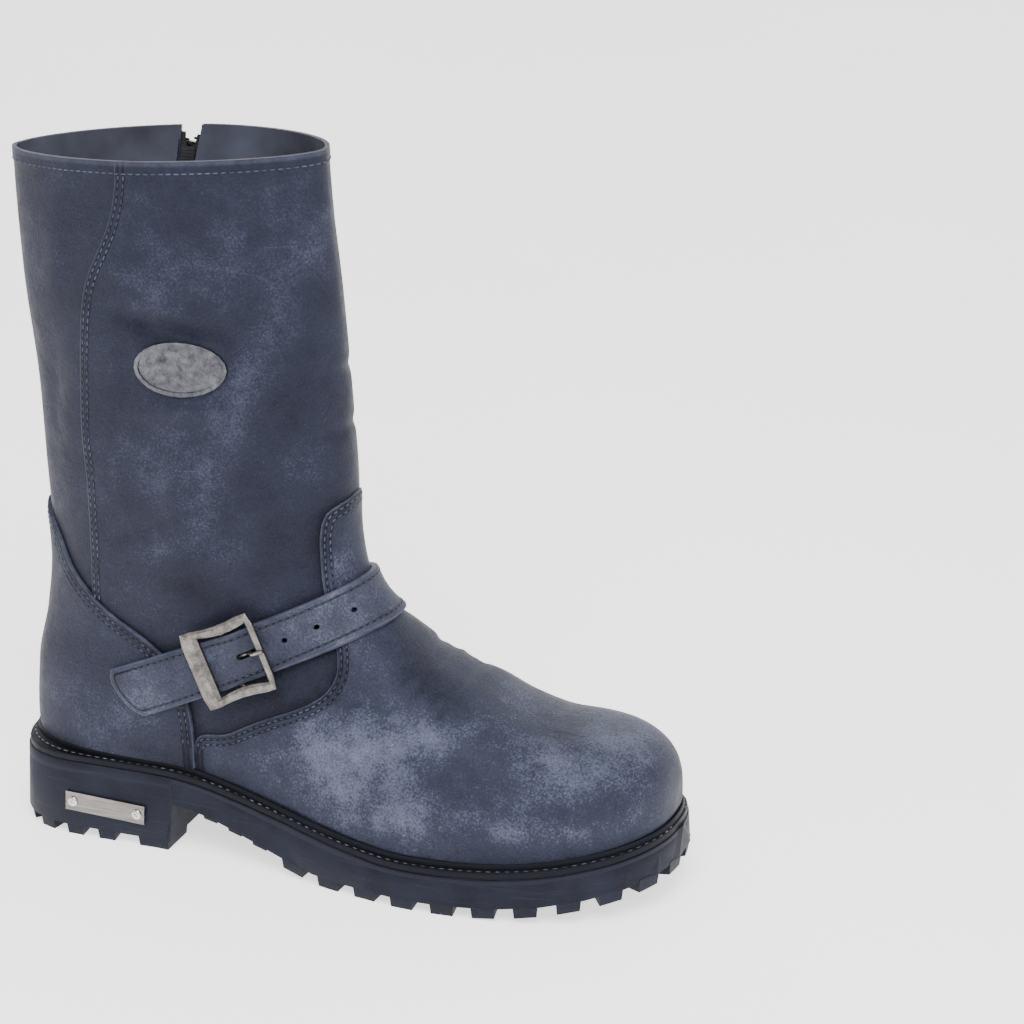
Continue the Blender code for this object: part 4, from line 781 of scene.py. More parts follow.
def make_object(name, points, faces, material, slot, sharp=50, **columns):
    """Object of the points and faces, riding on the boot, with a number per point in each column."""
    mesh = bpy.data.meshes.new(name)
    mesh.from_pydata([tuple(p) for p in np.asarray(points, float).tolist()], [], faces)
    for key, values in columns.items():
        mesh.attributes.new(key, "FLOAT", "POINT").data.foreach_set("value", np.asarray(values, np.float32))
    mesh.materials.append(material)
    mesh.shade_smooth()
    mesh.set_sharp_from_angle(angle=math.radians(sharp))
    piece = bpy.data.objects.new(name, mesh)
    bpy.context.scene.collection.objects.link(piece)
    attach(piece, "boot")
    return piece


def leather_piece(name, sheet, keep, edge, lift, thick, material, slot, forms=1.0, round_over=0.0004,
                  dirt_and_shade_level=1.0):
    """Leather cut from a sheet where keep is over zero, lifted off the last, with rounded cut edges."""
    points, outward, faces, values = trim(*sheet, keep, np.column_stack([edge, lift]))
    edge, lift = values.T
    sunk = round_over * np.exp(-np.maximum(edge, 0) / 0.0005)
    # Spots of rubbed dye, which also paint light on crowns and shade in hollows.
    rub = soft_sum(points, RUBS_LIGHT_AND_SHADE)
    # Darker along the vamp's and counter's edges, where one panel laps another: partly dirt in the seam, partly
    # painted shade.
    dirt = np.exp(-np.abs(from_vamp(points)) / 0.0030) + np.exp(-np.abs(from_counter(points)) / 0.0030)
    dirt = np.clip(dirt, 0, 1) * np.where(edge > 0.0015, 1.0, 0.3) * dirt_and_shade_level
    lifted = points + outward * (lift + folds(points) * forms - sunk)[:, None]
    count = len(points)
    within_piece = [[i + count for i in face[::-1]] for face in faces]
    walls = [[b, a, a + count, b + count] for a, b in cut_edges(faces)]
    return make_object(
        name, np.vstack([lifted, lifted - outward * thick]), faces + within_piece + walls, material,
        slot=slot, sharp=62, edge=np.tile(edge * 1000, 2), rim=np.tile(from_rim(points) * 1000, 2),
        rub=np.tile(rub, 2), dirt=np.tile(dirt, 2))


hide = last_sheet(400, 236, 0.0, 1.0)
d_vamp = from_vamp(hide[0])
d_counter = from_counter(hide[0])
d_seam = from_seam(hide[0])
half = slot_half(hide[0])
rim_roll = 0.0004 * ease((0.007 - from_rim(hide[0])) / 0.003)
under_vamp = ease((0.004 - d_vamp) / 0.004)

shaft_leather = rubbed_leather("shaft_leather", (1.9, 4.4), "#0b0c14", "#21232f", "#484c5e", 0.35)
front_keep = np.minimum(d_seam - half, 0.012 - d_vamp)
front_lift = 0.0008 * np.exp(-np.maximum(d_seam, 0) / 0.012) * under_vamp + rim_roll
shaft_front = leather_piece("shaft_front", hide, front_keep, d_seam - half, front_lift, SHAFT_THICK,
                            shaft_leather, "upper_leather")
back_keep = np.where(hide[0][:, 1] < 0, 0.006 - d_seam, -d_seam - half)
back_edge = np.where(hide[0][:, 1] < 0, 0.030, -d_seam - half)
leather_piece("shaft_back", hide, back_keep, back_edge, rim_roll, SHAFT_THICK, shaft_leather,
              "upper_leather")
vamp_leather = rubbed_leather("vamp_leather", (1.9, 4.6), "#0c0d15", "#2a2d3a", "#656a7d", 0.50)
leather_piece("vamp", hide, d_vamp, d_vamp, np.full(len(d_vamp), VAMP_STEP), VAMP_STEP + 0.0006,
              vamp_leather, "upper_leather")
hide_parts("upper")

# Heel counter. A second piece of the same hide, lasted over the back of the shaft and the vamp's ends. It
# is stitched down along its edge with two rows.
counter_leather = rubbed_leather("counter_leather", (2.3, 4.9), "#0c0d15", "#282a37", "#575c6e", 0.50)
above_rib = hide[0][:, 2] - welt_top(hide[0][:, 0]) - 0.0028
counter = leather_piece("counter", hide, np.minimum(d_counter, above_rib), d_counter,
                        np.full(len(d_counter), COUNTER_THICK + GAP * 1.2), COUNTER_THICK, counter_leather,
                        "counter_leather")
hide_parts("heel_counter")

# Lining. Smooth dark split leather, glued behind the shaft and cut with it at the collar. It follows the
# same folds and is seen through the collar.
lining_leather, tree, shader, place = new_material("lining_leather")
colour = tones(tree, noise(tree, place, 0.030, 3.0), (0.3, "#20222a"), (0.75, "#454858"))
tree.links.new(colour, shader.inputs["Base Color"])
shader.inputs["Roughness"].default_value = 0.72
relief(tree, shader, noise(tree, place, 0.0012, 4.0), 0.4, 0.0002)
lining_keep = np.abs(d_seam) - half
points, outward, faces, _ = trim(*hide, lining_keep, lining_keep[:, None])
inner_face = points + outward * (folds(points) - WALL)[:, None]
make_object("lining", inner_face, [face[::-1] for face in faces], lining_leather,
            slot="upper_leather")

# Strap. One band of 2.4 mm harness leather over the instep, cut edges inked and rubbed pale. The holes
# and the prong's slot are punched.
STRAP_WIDTH = 0.0240
STRAP_THICK = 0.0024
STRAP_SLOPE = 0.445
STRAP_ARCH = 0.0022
STRAP_ARCH_REACH = 0.0065
STRAP_LOOSE = 0.0010
STRAP_FOLDS = 0.25
STRAP_CLIMB = 0.012
STRAP_CLIMB_END = 0.004
STRAP_AT = (0.565, 0.388)
STRAP_TIP = (0.198, 0.243)
STRAP_ROOT = (0.214, 0.240)
BUCKLE_AT = 0.368
TIP_ROUND = 0.004
TIP_SLANT = 0.016
ROOT_SLANT = 0.010
HOLE_RADIUS = 0.0013
HOLE_PITCH = 0.0128
PRONG_HOLE = 0.0108
PRONG_SLOT = 0.0100


def strap_height(x, across):
    """Height over x of the strap's line at a place across its width."""
    centre = STRAP_AT[1] * HEIGHT + STRAP_SLOPE * (x - BACK - STRAP_AT[0] * LENGTH)
    return centre + across / math.cos(math.atan(STRAP_SLOPE))


def strap_skin(angle, across):
    """Skin point under the strap, at an angle round the ankle and a place across the strap."""
    start = BACK + 0.311 * LENGTH
    angle = np.asarray(angle, float)
    across = np.asarray(across, float)
    return cast(angle, start, 0.270 * LENGTH, 0.351 * BALL_WIDTH, lambda x: strap_height(x, across))


def strap_angle(x, across, inner):
    """Angle where the strap's line passes x, on one side."""
    sign = 1.0 if inner else -1.0
    angles = np.linspace(0.05, 0.9, 60) * math.pi
    places = strap_skin(sign * angles, across)[:, 0]
    return sign * float(np.interp(-x, -places, angles))


def strap_lift(x, outer):
    """How far the strap's inner face stands off the skin."""
    base = VAMP_STEP + STRAP_LOOSE
    over_counter = GAP * 3 + COUNTER_THICK + GAP
    if not outer:
        return base
    edge = BACK + COUNTER_EDGE[-1][0] * LENGTH
    share = ease((edge + STRAP_CLIMB_END + STRAP_CLIMB - x) / STRAP_CLIMB)
    away = (x - BACK - BUCKLE_AT * LENGTH) / STRAP_ARCH_REACH
    return base + (over_counter - base) * share + STRAP_ARCH * math.exp(-away ** 2)


def strap_frame(x):
    """Axes along, across and off the strap on the outer side at x, and the skin point there."""
    angle = strap_angle(x, 0.0, False)
    centre = strap_skin(angle, 0.0)
    ahead = strap_skin(angle + 0.05, 0.0)
    behind = strap_skin(angle - 0.05, 0.0)
    along = (ahead - behind) / np.linalg.norm(ahead - behind)
    off = normals(centre)
    off = off - along * np.dot(off, along)
    off = off / np.linalg.norm(off)
    across = np.cross(off, along)
    return np.stack([along, across, off], -1), centre


strap_leather = rubbed_leather("strap_leather", (2.6,), "#101118", "#343744", "#686c7a", 0.60)
lanes = 60
sections = 430
across = np.sin(np.linspace(-1, 1, lanes) * 1.35) / math.sin(1.35) * STRAP_WIDTH / 2
tip_x = BACK + STRAP_TIP[0] * LENGTH
root_x = BACK + STRAP_ROOT[0] * LENGTH
tip_line = tip_x - across / STRAP_WIDTH * TIP_SLANT + TIP_ROUND * np.abs(2 * across / STRAP_WIDTH) ** 3
first = [strap_angle(x, a, False) for x, a in zip(tip_line, across)]
last = [strap_angle(root_x - a / STRAP_WIDTH * ROOT_SLANT, a, True) for a in across]
t = np.linspace(0, 1, sections)[:, None]
turn = np.array(first) * (1 - t) + np.array(last) * t
points = strap_skin(turn, np.broadcast_to(across, turn.shape)).reshape(-1, 3)
sides = np.broadcast_to(np.abs(across), turn.shape).ravel()
lift = np.array([strap_lift(float(x), y < 0) for x, y in points[:, :2]])
edge = STRAP_WIDTH / 2 - sides
for end in (0, sections - 1):
    tip = points.reshape(sections, lanes, 3)[end]
    edge = np.minimum(edge, near_line(points, tip))
keep = np.full(len(points), 1.0)
for number in range(1, 4):
    axes, centre = strap_frame(BACK + BUCKLE_AT * LENGTH + PRONG_HOLE + number * HOLE_PITCH)
    away = points - centre
    keep = np.minimum(keep, np.linalg.norm(away - (away @ axes[:, 2])[:, None] * axes[:, 2], axis=1)
                      + np.abs(away @ axes[:, 2]) * 0.1 - HOLE_RADIUS)
axes, centre = strap_frame(BACK + BUCKLE_AT * LENGTH)
away = (points - centre) @ axes
slot_shape = np.maximum(np.abs(away[:, 0] - PRONG_HOLE + 0.0016) - PRONG_SLOT / 2 + 0.001, 0)
keep = np.minimum(keep, np.hypot(slot_shape, away[:, 1]) - 0.0015 + np.where(points[:, 1] < 0, 0, 1))
grid = np.arange(sections * lanes).reshape(sections, lanes)
faces = np.stack([grid[:-1, :-1], grid[:-1, 1:], grid[1:, 1:], grid[1:, :-1]], -1).reshape(-1, 4)
strap_sheet = (points, normals(points), faces)
strap = leather_piece("strap_band", strap_sheet, keep, edge, lift + STRAP_THICK,
                      STRAP_THICK, strap_leather, "strap_leather", forms=STRAP_FOLDS, round_over=0.0006, dirt_and_shade_level=0.0)
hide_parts("strap")

# Stitches. Waxed thread in a lock stitch, 3.4 mm from hole to hole. Each lies sunk in the groove that
# the machine's foot presses into the leather.
STITCH = 0.0034
THREAD = 0.00036


def thread(name, dark, light):
    material, tree, shader, place = new_material(name)
    colour = tones(tree, noise(tree, place, 0.012), (0.35, dark), (0.70, light))
    tree.links.new(colour, shader.inputs["Base Color"])
    shader.inputs["Roughness"].default_value = 0.7
    relief(tree, shader, noise(tree, place, 0.0006), 0.5, 0.0002)
    return material


def row_beside(line, inset, lift):
    """Line on the leather beside an edge line, at a distance to its left seen from outside."""
    _, outward = onto_last(line)
    ahead = np.gradient(line, axis=0)
    ahead = ahead / np.linalg.norm(ahead, axis=1, keepdims=True)
    moved, outward = onto_last(line + np.cross(outward, ahead) * inset)
    raised = moved + outward * (folds(moved) + lift)[:, None]
    return raised, outward


def stitch_line(name, rows, material, slot, pitch=STITCH, radius=THREAD):
    """Rounded stitches laid along rows of points with outward directions."""
    points = []
    faces = []
    share = np.array([0.0, 0.12, 0.35, 0.65, 0.88, 1.0])
    swell = np.array([0.25, 0.75, 1.0, 1.0, 0.75, 0.25])
    sides = 6
    for line, outward in rows:
        steps = np.linalg.norm(np.diff(line, axis=0), axis=1)
        run = np.concatenate([[0], np.cumsum(steps)])
        for k in range(int(run[-1] / pitch)):
            at = (k + 0.14 + share * 0.72) * pitch
            centre = np.stack([np.interp(at, run, line[:, a]) for a in range(3)], -1)
            off = np.stack([np.interp(at, run, outward[:, a]) for a in range(3)], -1)
            off = off / np.linalg.norm(off, axis=1, keepdims=True)
            aside = np.cross(off, centre[-1] - centre[0])
            aside = aside / np.linalg.norm(aside, axis=1, keepdims=True)
            centre = centre - off * (radius * (0.9 - 0.7 * swell))[:, None]
            base = len(points)
            for j in range(len(share)):
                for s in range(sides):
                    turn = 2 * math.pi * s / sides
                    points.append(centre[j] + radius * swell[j] * (off[j] * math.cos(turn)
                                                                   + aside[j] * math.sin(turn)))
            for j in range(len(share) - 1):
                for s in range(sides):
                    a = base + j * sides + s
                    b = base + j * sides + (s + 1) % sides
                    faces.append([a, b, b + sides, a + sides])
            faces.append([base + s for s in range(sides)])
            faces.append([base + (len(share) - 1) * sides + s for s in range(sides)][::-1])
    return make_object(name, points, faces, material, slot=slot, sharp=80)


rim_angle = np.linspace(0, 2 * math.pi, 260)
rim_row = cast(rim_angle, BACK + FAN[-1][1] * LENGTH, FAN[-1][2] * LENGTH, FAN[-1][3] * BALL_WIDTH,
               lambda x: ring_height(np.ones(np.shape(x)), x) - 0.0052)
opening = np.argmin(np.abs(from_seam(rim_row)) + np.where(rim_row[:, 1] > 0, 0, 1))
rim_row = np.roll(rim_row[:-1], -opening, axis=0)
clear = (np.abs(from_seam(rim_row)) > 0.0055) | (rim_row[:, 1] < 0)
rim_row = rim_row[clear]
upper_thread = thread("upper_thread", "#161a24", "#3d4456")
stitch_line(
    "counter_stitches",
    [row_beside(counter_edge[counter_edge[:, 2] > 0.052], inset, COUNTER_THICK + GAP)
     for inset in (0.0023, 0.0049)],
    upper_thread, "counter_leather")
above_welt = vamp_edge[vamp_edge[:, 2] > 0.052]
stitch_line(
    "vamp_stitches", [row_beside(above_welt, inset, VAMP_STEP) for inset in (-0.0019, -0.0046)],
    upper_thread, "upper_leather")
seam_above = seam[(seam[:, 2] > 0.110) & (from_rim(seam) > 0.0035)]
stitch_line(
    "seam_stitches", [row_beside(seam_above, inset, 0.0007) for inset in STITCH_ROWS],
    upper_thread, "upper_leather")
zip_above = zip_line[(zip_line[:, 2] > 0.118) & (from_rim(zip_line) > 0.0035)]
stitch_line(
    "zip_stitches", [row_beside(zip_above, side * (ZIP_SLOT / 2 + inset), 0.0002)
                     for side in (-1, 1) for inset in STITCH_ROWS],
    upper_thread, "upper_leather")
rim_out = normals(rim_row)
in_front = from_seam(rim_row)
lap = np.where(in_front > 0, 0.0008 * np.exp(-np.maximum(in_front, 0) / 0.012), 0.0)
rim_raised = rim_row + rim_out * (folds(rim_row) + lap + 0.0004)[:, None]
stitch_line("rim_stitches", [(rim_raised, rim_out)], upper_thread, "upper_leather")


def strap_stitch_row(inset):
    """Line round the strap's tip and along both of its edges, at a distance from the edge."""
    u = STRAP_WIDTH / 2 - inset
    place = [strap_skin(np.interp(u, across, turn[k]), u) for k in range(sections - 1, 12, -3)]
    place += [strap_skin(np.interp(a, across, turn[0]) + 0.035, a) for a in np.linspace(u, -u, 12)[1:-1]]
    place += [strap_skin(np.interp(-u, across, turn[k]), -u) for k in range(13, sections, 3)]
    place = np.array(place)
    outward = normals(place)
    rise = np.array([strap_lift(float(x), y < 0) + STRAP_THICK for x, y in place[:, :2]])
    return place + outward * (rise + folds(place) * STRAP_FOLDS)[:, None], outward


stitch_line("strap_stitches", [strap_stitch_row(0.0026)],
                             thread("strap_thread", "#10131b", "#272c39"), "strap_leather")

# Rubber unit. Black nitrile moulded in one with heel and lugs, dull and greyed by dust and handling. A
# smooth band stands round its side, above the lugs.
LUG = 0.005
WAIST_HEIGHT = 0.019
SIDE_FLARE = 0.0016
WELT_UNDER = 0.011
WELT_IN = 0.0004
RIB_HEIGHT = 0.0026
RIB_WIDTH = 0.0019
RIB_CLEAR = 0.0006


def black_rubber(name, dark, dusty, rough):
    """Dull rubber with pores, dust clouds and scuffs that run along the boot."""
    material, tree, shader, place = new_material(name)
    cloud = noise(tree, place, 0.018, 4.0)
    pore = noise(tree, place, 0.0010, 3.0)
    long = add(tree, "ShaderNodeMapping", (("Vector", place), ("Scale", (1 / 0.030, 1 / 0.030, 1 / 0.0012)))
               ).outputs["Vector"]
    scuff = remap(tree, noise(tree, long, 1.0, 3.0, 0.6), 0.58, 0.75)
    tone = combine(tree, "MULTIPLY_ADD", scuff, 0.35, cloud)
    tone = combine(tree, "MULTIPLY_ADD", pore, 0.25, tone)
    tree.links.new(tones(tree, tone, (0.40, dark), (1.0, dusty)), shader.inputs["Base Color"])
    cool_sheen(shader, 1.40, 0.40)
    tree.links.new(remap(tree, cloud, 0.3, 0.7, rough - 0.08, rough + 0.12), shader.inputs["Roughness"])
    relief(tree, shader, pore, 0.5, 0.00015)
    return material


def round_edges(name, width, segments=2, angle=30):
    bevel = nodes[name].modifiers.new("worn_edges", "BEVEL")
    bevel.width = width
    bevel.segments = segments
    bevel.limit_method = "ANGLE"
    bevel.angle_limit = math.radians(angle)
    bevel.harden_normals = False


def finish_node(name, material):
    nodes[name].data.materials.clear()
    nodes[name].data.materials.append(material)


sole_rubber = black_rubber("sole_rubber", "#090a10", "#20222d", 0.60)
finish_node("outsole", sole_rubber)
columns = 480
angle = np.linspace(0, 2 * math.pi, columns, endpoint=False)


def outline_points(inset):
    """Points of the sole's outline in plan, drawn in by the inset, one for each angle."""
    run_x = FAN[0][2] * LENGTH * np.cos(angle)
    run_y = FAN[0][3] * BALL_WIDTH * np.sin(angle)
    start = BACK + FAN[0][1] * LENGTH
    share = furthest(lambda m: plan_share(start + m * run_x, m * run_y, inset) < 1, columns, 0.0, 1.9, 40)
    return np.stack([start + share * run_x, share * run_y], -1)


foot_line = outline_points(0.0)
top_line = outline_points(SIDE_FLARE)
breast = BACK + HEEL_LENGTH
x = foot_line[:, 0]
spring = TOE_SPRING * np.clip((station(x) - 0.70) / 0.30, 0, 1) ** 1.7
under = WAIST_HEIGHT * (1 - ease((x - breast) / (0.27 * LENGTH))) + spring
under = np.where(x < breast - 0.0002, 0.0, under) + LUG + 0.0003
above = sole_top(top_line[:, 0]) - 0.0001
outward = foot_line - np.roll(foot_line, 1, axis=0) + np.roll(foot_line, -1, axis=0) - foot_line
outward = np.column_stack([outward[:, 1], -outward[:, 0]])
outward = outward / np.linalg.norm(outward, axis=1, keepdims=True)
rings = []
for share, off in ((0.0, -0.0012), (0.0, 0.00005), (0.012, 0.00020), (0.5, 0.00024), (0.80, 0.00022),
                   (0.82, 0.00008), (0.84, 0.00008), (0.86, 0.00022), (0.985, 0.00018), (1.0, -0.0002),
                   (1.0, -0.0012)):
    z = under + (above - under) * share
    flare = np.clip((z - LUG) / (above - LUG), 0, 1)[:, None]
    at = foot_line * (1 - flare) + top_line * flare + outward * off
    rings.append(np.column_stack([at, z]))
count = len(rings)
grid = np.arange(columns * count).reshape(columns, count)
ahead = np.roll(grid, -1, axis=0)
faces = np.stack([grid[:, :-1], ahead[:, :-1], ahead[:, 1:], grid[:, 1:]], -1).reshape(-1, 4)
make_object("sole_sidewall", np.stack(rings, 1).reshape(-1, 3), faces.tolist(), sole_rubber,
            slot="sole_rubber", sharp=45)
finish_node("insole", lining_leather)

# Welt. Black storm welt of extruded rubber, laid on the unit's edge and stitched through to it. Its rib
# stands against the upper.
rim_line = outline_points(SIDE_FLARE + WELT_IN)
wall = cast(angle, BACK + FAN[0][1] * LENGTH, FAN[0][2] * LENGTH, FAN[0][3] * BALL_WIDTH,
            lambda x: welt_top(x) + RIB_HEIGHT / 2)[:, :2]
inward = wall - rim_line
reach = np.linalg.norm(inward, axis=1)
inward = inward / reach[:, None]
reach = reach - VAMP_STEP - RIB_CLEAR * 0.7
rib = np.maximum(reach - RIB_WIDTH, reach * 0.3)
rib_top = WELT_THICK + RIB_HEIGHT
soft = np.minimum(0.0006, rib * 0.4)
lip = np.minimum(0.0005, (reach - rib) * 0.35)
profile = (
    (reach * 0, 0.0), (reach * 0, WELT_THICK * 0.70), (soft * 0.35, WELT_THICK * 0.93), (soft, WELT_THICK),
    (rib * 0.45, WELT_THICK), (rib * 0.5, WELT_THICK * 0.93), (rib * 0.55, WELT_THICK),
    (rib - lip * 0.3, WELT_THICK * 1.02), (rib, WELT_THICK * 1.15), (rib + lip * 0.2, rib_top * 0.90),
    (rib + lip, rib_top), (reach - lip, rib_top), (reach - lip * 0.2, rib_top * 0.90),
    (reach, WELT_THICK), (reach + WELT_UNDER, WELT_THICK), (reach + WELT_UNDER, 0.0),
)
rings = []
for run, z in profile:
    at = rim_line + inward * run[:, None]
    rings.append(np.column_stack([at, sole_top(at[:, 0]) + GAP + z]))
points = np.stack(rings, 1)
count = len(profile)
grid = np.arange(columns * count).reshape(columns, count)
ahead = np.roll(grid, -1, axis=0)
beside = np.roll(grid, -1, axis=1)
faces = np.stack([grid, ahead, np.roll(ahead, -1, axis=1), beside], -1).reshape(-1, 4)
welt_rubber = black_rubber("welt_rubber", "#030304", "#0a0b0f", 0.55)
welt = make_object("storm_welt", points.reshape(-1, 3), faces.tolist(), welt_rubber, slot="welt_rubber",
                   sharp=40)
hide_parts("welt")
row = rim_line + inward * (rib * 0.5)[:, None]
row = np.column_stack([row, sole_top(row[:, 0]) + GAP + WELT_THICK * 0.95])
wide = np.where(rib > 0.0012)[0]
gap_at = np.argmax(np.diff(np.append(wide, wide[0] + columns)))
wide = wide[np.argsort((wide - wide[gap_at] - 1) % columns)]
row = row[wide]
stitch_line("welt_stitches", [(row, np.tile([0.0, 0.0, 1.0], (len(row), 1)))],
                            thread("welt_thread", "#2c3039", "#6b7280"), "welt_rubber", pitch=0.0042,
                            radius=0.00042)

# Zip. Woven black tape with brass teeth in black oxide, clamped by turns to the two tapes' beaded edges.
# Slider, pull tab and bottom stop are cast and plated.
CHAIN_THICK = 0.0011
SLIDER_LENGTH = 0.0105
TOOTH_PITCH = 0.0024
ZIP_SPREAD = 0.0022
ZIP_SPREAD_OVER = 0.012


def plain_metal(name, dark, light, rough, grain=0.0011, brushed=None):
    """Cast or stamped metal with dark patina in its low spots and rubbed high spots."""
    material, tree, shader, place = new_material(name)
    if brushed:
        place = add(tree, "ShaderNodeMapping", (("Vector", place), ("Scale", brushed))).outputs["Vector"]
    pits = noise(tree, place, grain, 3.0)
    tone = combine(tree, "MULTIPLY_ADD", pits, 0.4, noise(tree, place, 0.0045, 5.0, 0.65))
    tree.links.new(tones(tree, tone, (0.40, dark), (0.95, light)), shader.inputs["Base Color"])
    shader.inputs["Metallic"].default_value = 1.0
    tree.links.new(remap(tree, tone, 0.5, 0.9, rough + 0.15, rough - 0.08), shader.inputs["Roughness"])
    relief(tree, shader, pits, 0.5, 0.00012)
    return material


def block(place, axes, size, taper=0.72):
    """Points and faces of a tooth: a box with its upper edges drawn in."""
    points = []
    for z, share in ((0.0, 1.0), (0.62, 1.0), (1.0, taper)):
        for a, b in ((-0.5, -0.5), (0.5, -0.5), (0.5, 0.5), (-0.5, 0.5)):
            points.append(place + axes @ np.array([a * size[0] * share, b * size[1] * share, z * size[2]]))
    faces = [[0, 3, 2, 1], [8, 9, 10, 11]]
    for ring in (0, 4):
        faces += [[ring + k, ring + (k + 1) % 4, ring + (k + 1) % 4 + 4, ring + k + 4] for k in range(4)]
    return points, faces


foot_z = ZIP_FOOT * HEIGHT + 0.0045
slider_z = HEIGHT - SLIDER_DROP - 0.3 * SLIDER_LENGTH
track = zip_line[(zip_line[:, 2] > foot_z) & (from_rim(zip_line) > 0.0012)]
track = track[np.argsort(track[:, 2])]
run = np.concatenate([[0], np.cumsum(np.linalg.norm(np.diff(track, axis=0), axis=1))])
points = []
faces = []
for number in range(int((run[-1] - 0.001) / TOOTH_PITCH * 2)):
    side = 1 if number % 2 else -1
    at = 0.0006 + number * TOOTH_PITCH / 2
    place = np.array([np.interp(at, run, track[:, a]) for a in range(3)])
    ahead = np.array([np.interp(at + 0.001, run, track[:, a]) for a in range(3)]) - place
    if np.linalg.norm(ahead) < 1e-6:
        break
    off = normals(place[None])[0]
    up = ahead - off * (ahead @ off)
    up = up / np.linalg.norm(up)
    axes = np.stack([np.cross(up, off), up, off], -1)
    spread = ease((place[2] - slider_z) / ZIP_SPREAD_OVER) * ZIP_SPREAD
    middle = place + axes @ np.array([side * (0.00055 + spread), 0.0, -0.0002])
    made, shape = block(middle, axes, (0.0030, 0.00105, CHAIN_THICK * 0.9))
    faces += [[i + len(points) for i in face] for face in shape]
    points += made
teeth = make_object("zip_teeth", points, faces, plain_metal("tooth_metal", "#121214", "#3b3a3b", 0.45),
                    slot="tooth_metal", sharp=25)
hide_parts("zip_chain")
cloth, tree, shader, place = new_material("zip_cloth")
weave = add(tree, "ShaderNodeTexWave", (("Vector", place), ("Scale", 1 / 0.0045), ("Distortion", 1.0),
                                        ("Detail", 2.0)), bands_direction="Z").outputs["Fac"]
colour = tones(tree, noise(tree, place, 0.008, 4.0), (0.35, "#121318"), (0.75, "#2a2c34"))
tree.links.new(colour, shader.inputs["Base Color"])
shader.inputs["Roughness"].default_value = 0.9
relief(tree, shader, weave, 0.5, 0.0002)
finish_node("zip_tape", cloth)
open_part = track[track[:, 2] > slider_z - 0.002]
out = normals(open_part)
ahead = np.gradient(open_part, axis=0)
aside = np.cross(ahead, out)
aside = aside / np.linalg.norm(aside, axis=1, keepdims=True)
spread = ease((open_part[:, 2] - slider_z) / ZIP_SPREAD_OVER) * ZIP_SPREAD
for side, label in ((-1, "front"), (1, "back")):
    rows = [open_part + aside * (side * (spread + run))[:, None] - out * depth
            for run, depth in ((0.0005, 0.0004), (0.0010, 0.0001), (0.0046, 0.0006), (0.0046, 0.0012),
                               (0.0005, 0.0010))]
    ring = np.stack(rows, 1)
    k = ring.shape[1]
    grid = np.arange(ring.shape[0] * k).reshape(-1, k)
    faces = np.stack([grid[:-1], grid[1:], np.roll(grid[1:], -1, 1), np.roll(grid[:-1], -1, 1)], -1)
    make_object("zip_ribbon_" + label, ring.reshape(-1, 3), faces.reshape(-1, 4).tolist(), cloth,
                slot="tape_cloth", sharp=40)
finish_node("zip_slider", plain_metal("slider_metal", "#4c4b49", "#98958f", 0.32))
finish_node("zip_pull_tab", plain_metal("tab_metal", "#55534f", "#a5a19a", 0.32))
finish_node("zip_bottom_stop", plain_metal("stop_metal", "#4c4b49", "#8f8c86", 0.35))
round_edges("zip_slider", 0.0003)
round_edges("zip_pull_tab", 0.0003)

# Buckle. Cast zinc frame in antique pewter, with a steel prong and a rod behind the strap. Its edges are
# tumbled round before the finish.
pewter = plain_metal("pewter", "#403e3d", "#8d8884", 0.36)
finish_node("buckle_frame", pewter)
round_edges("buckle_frame", 0.0005, 3)
finish_node("buckle_prong", plain_metal("prong_metal", "#4a4744", "#928d88", 0.32))

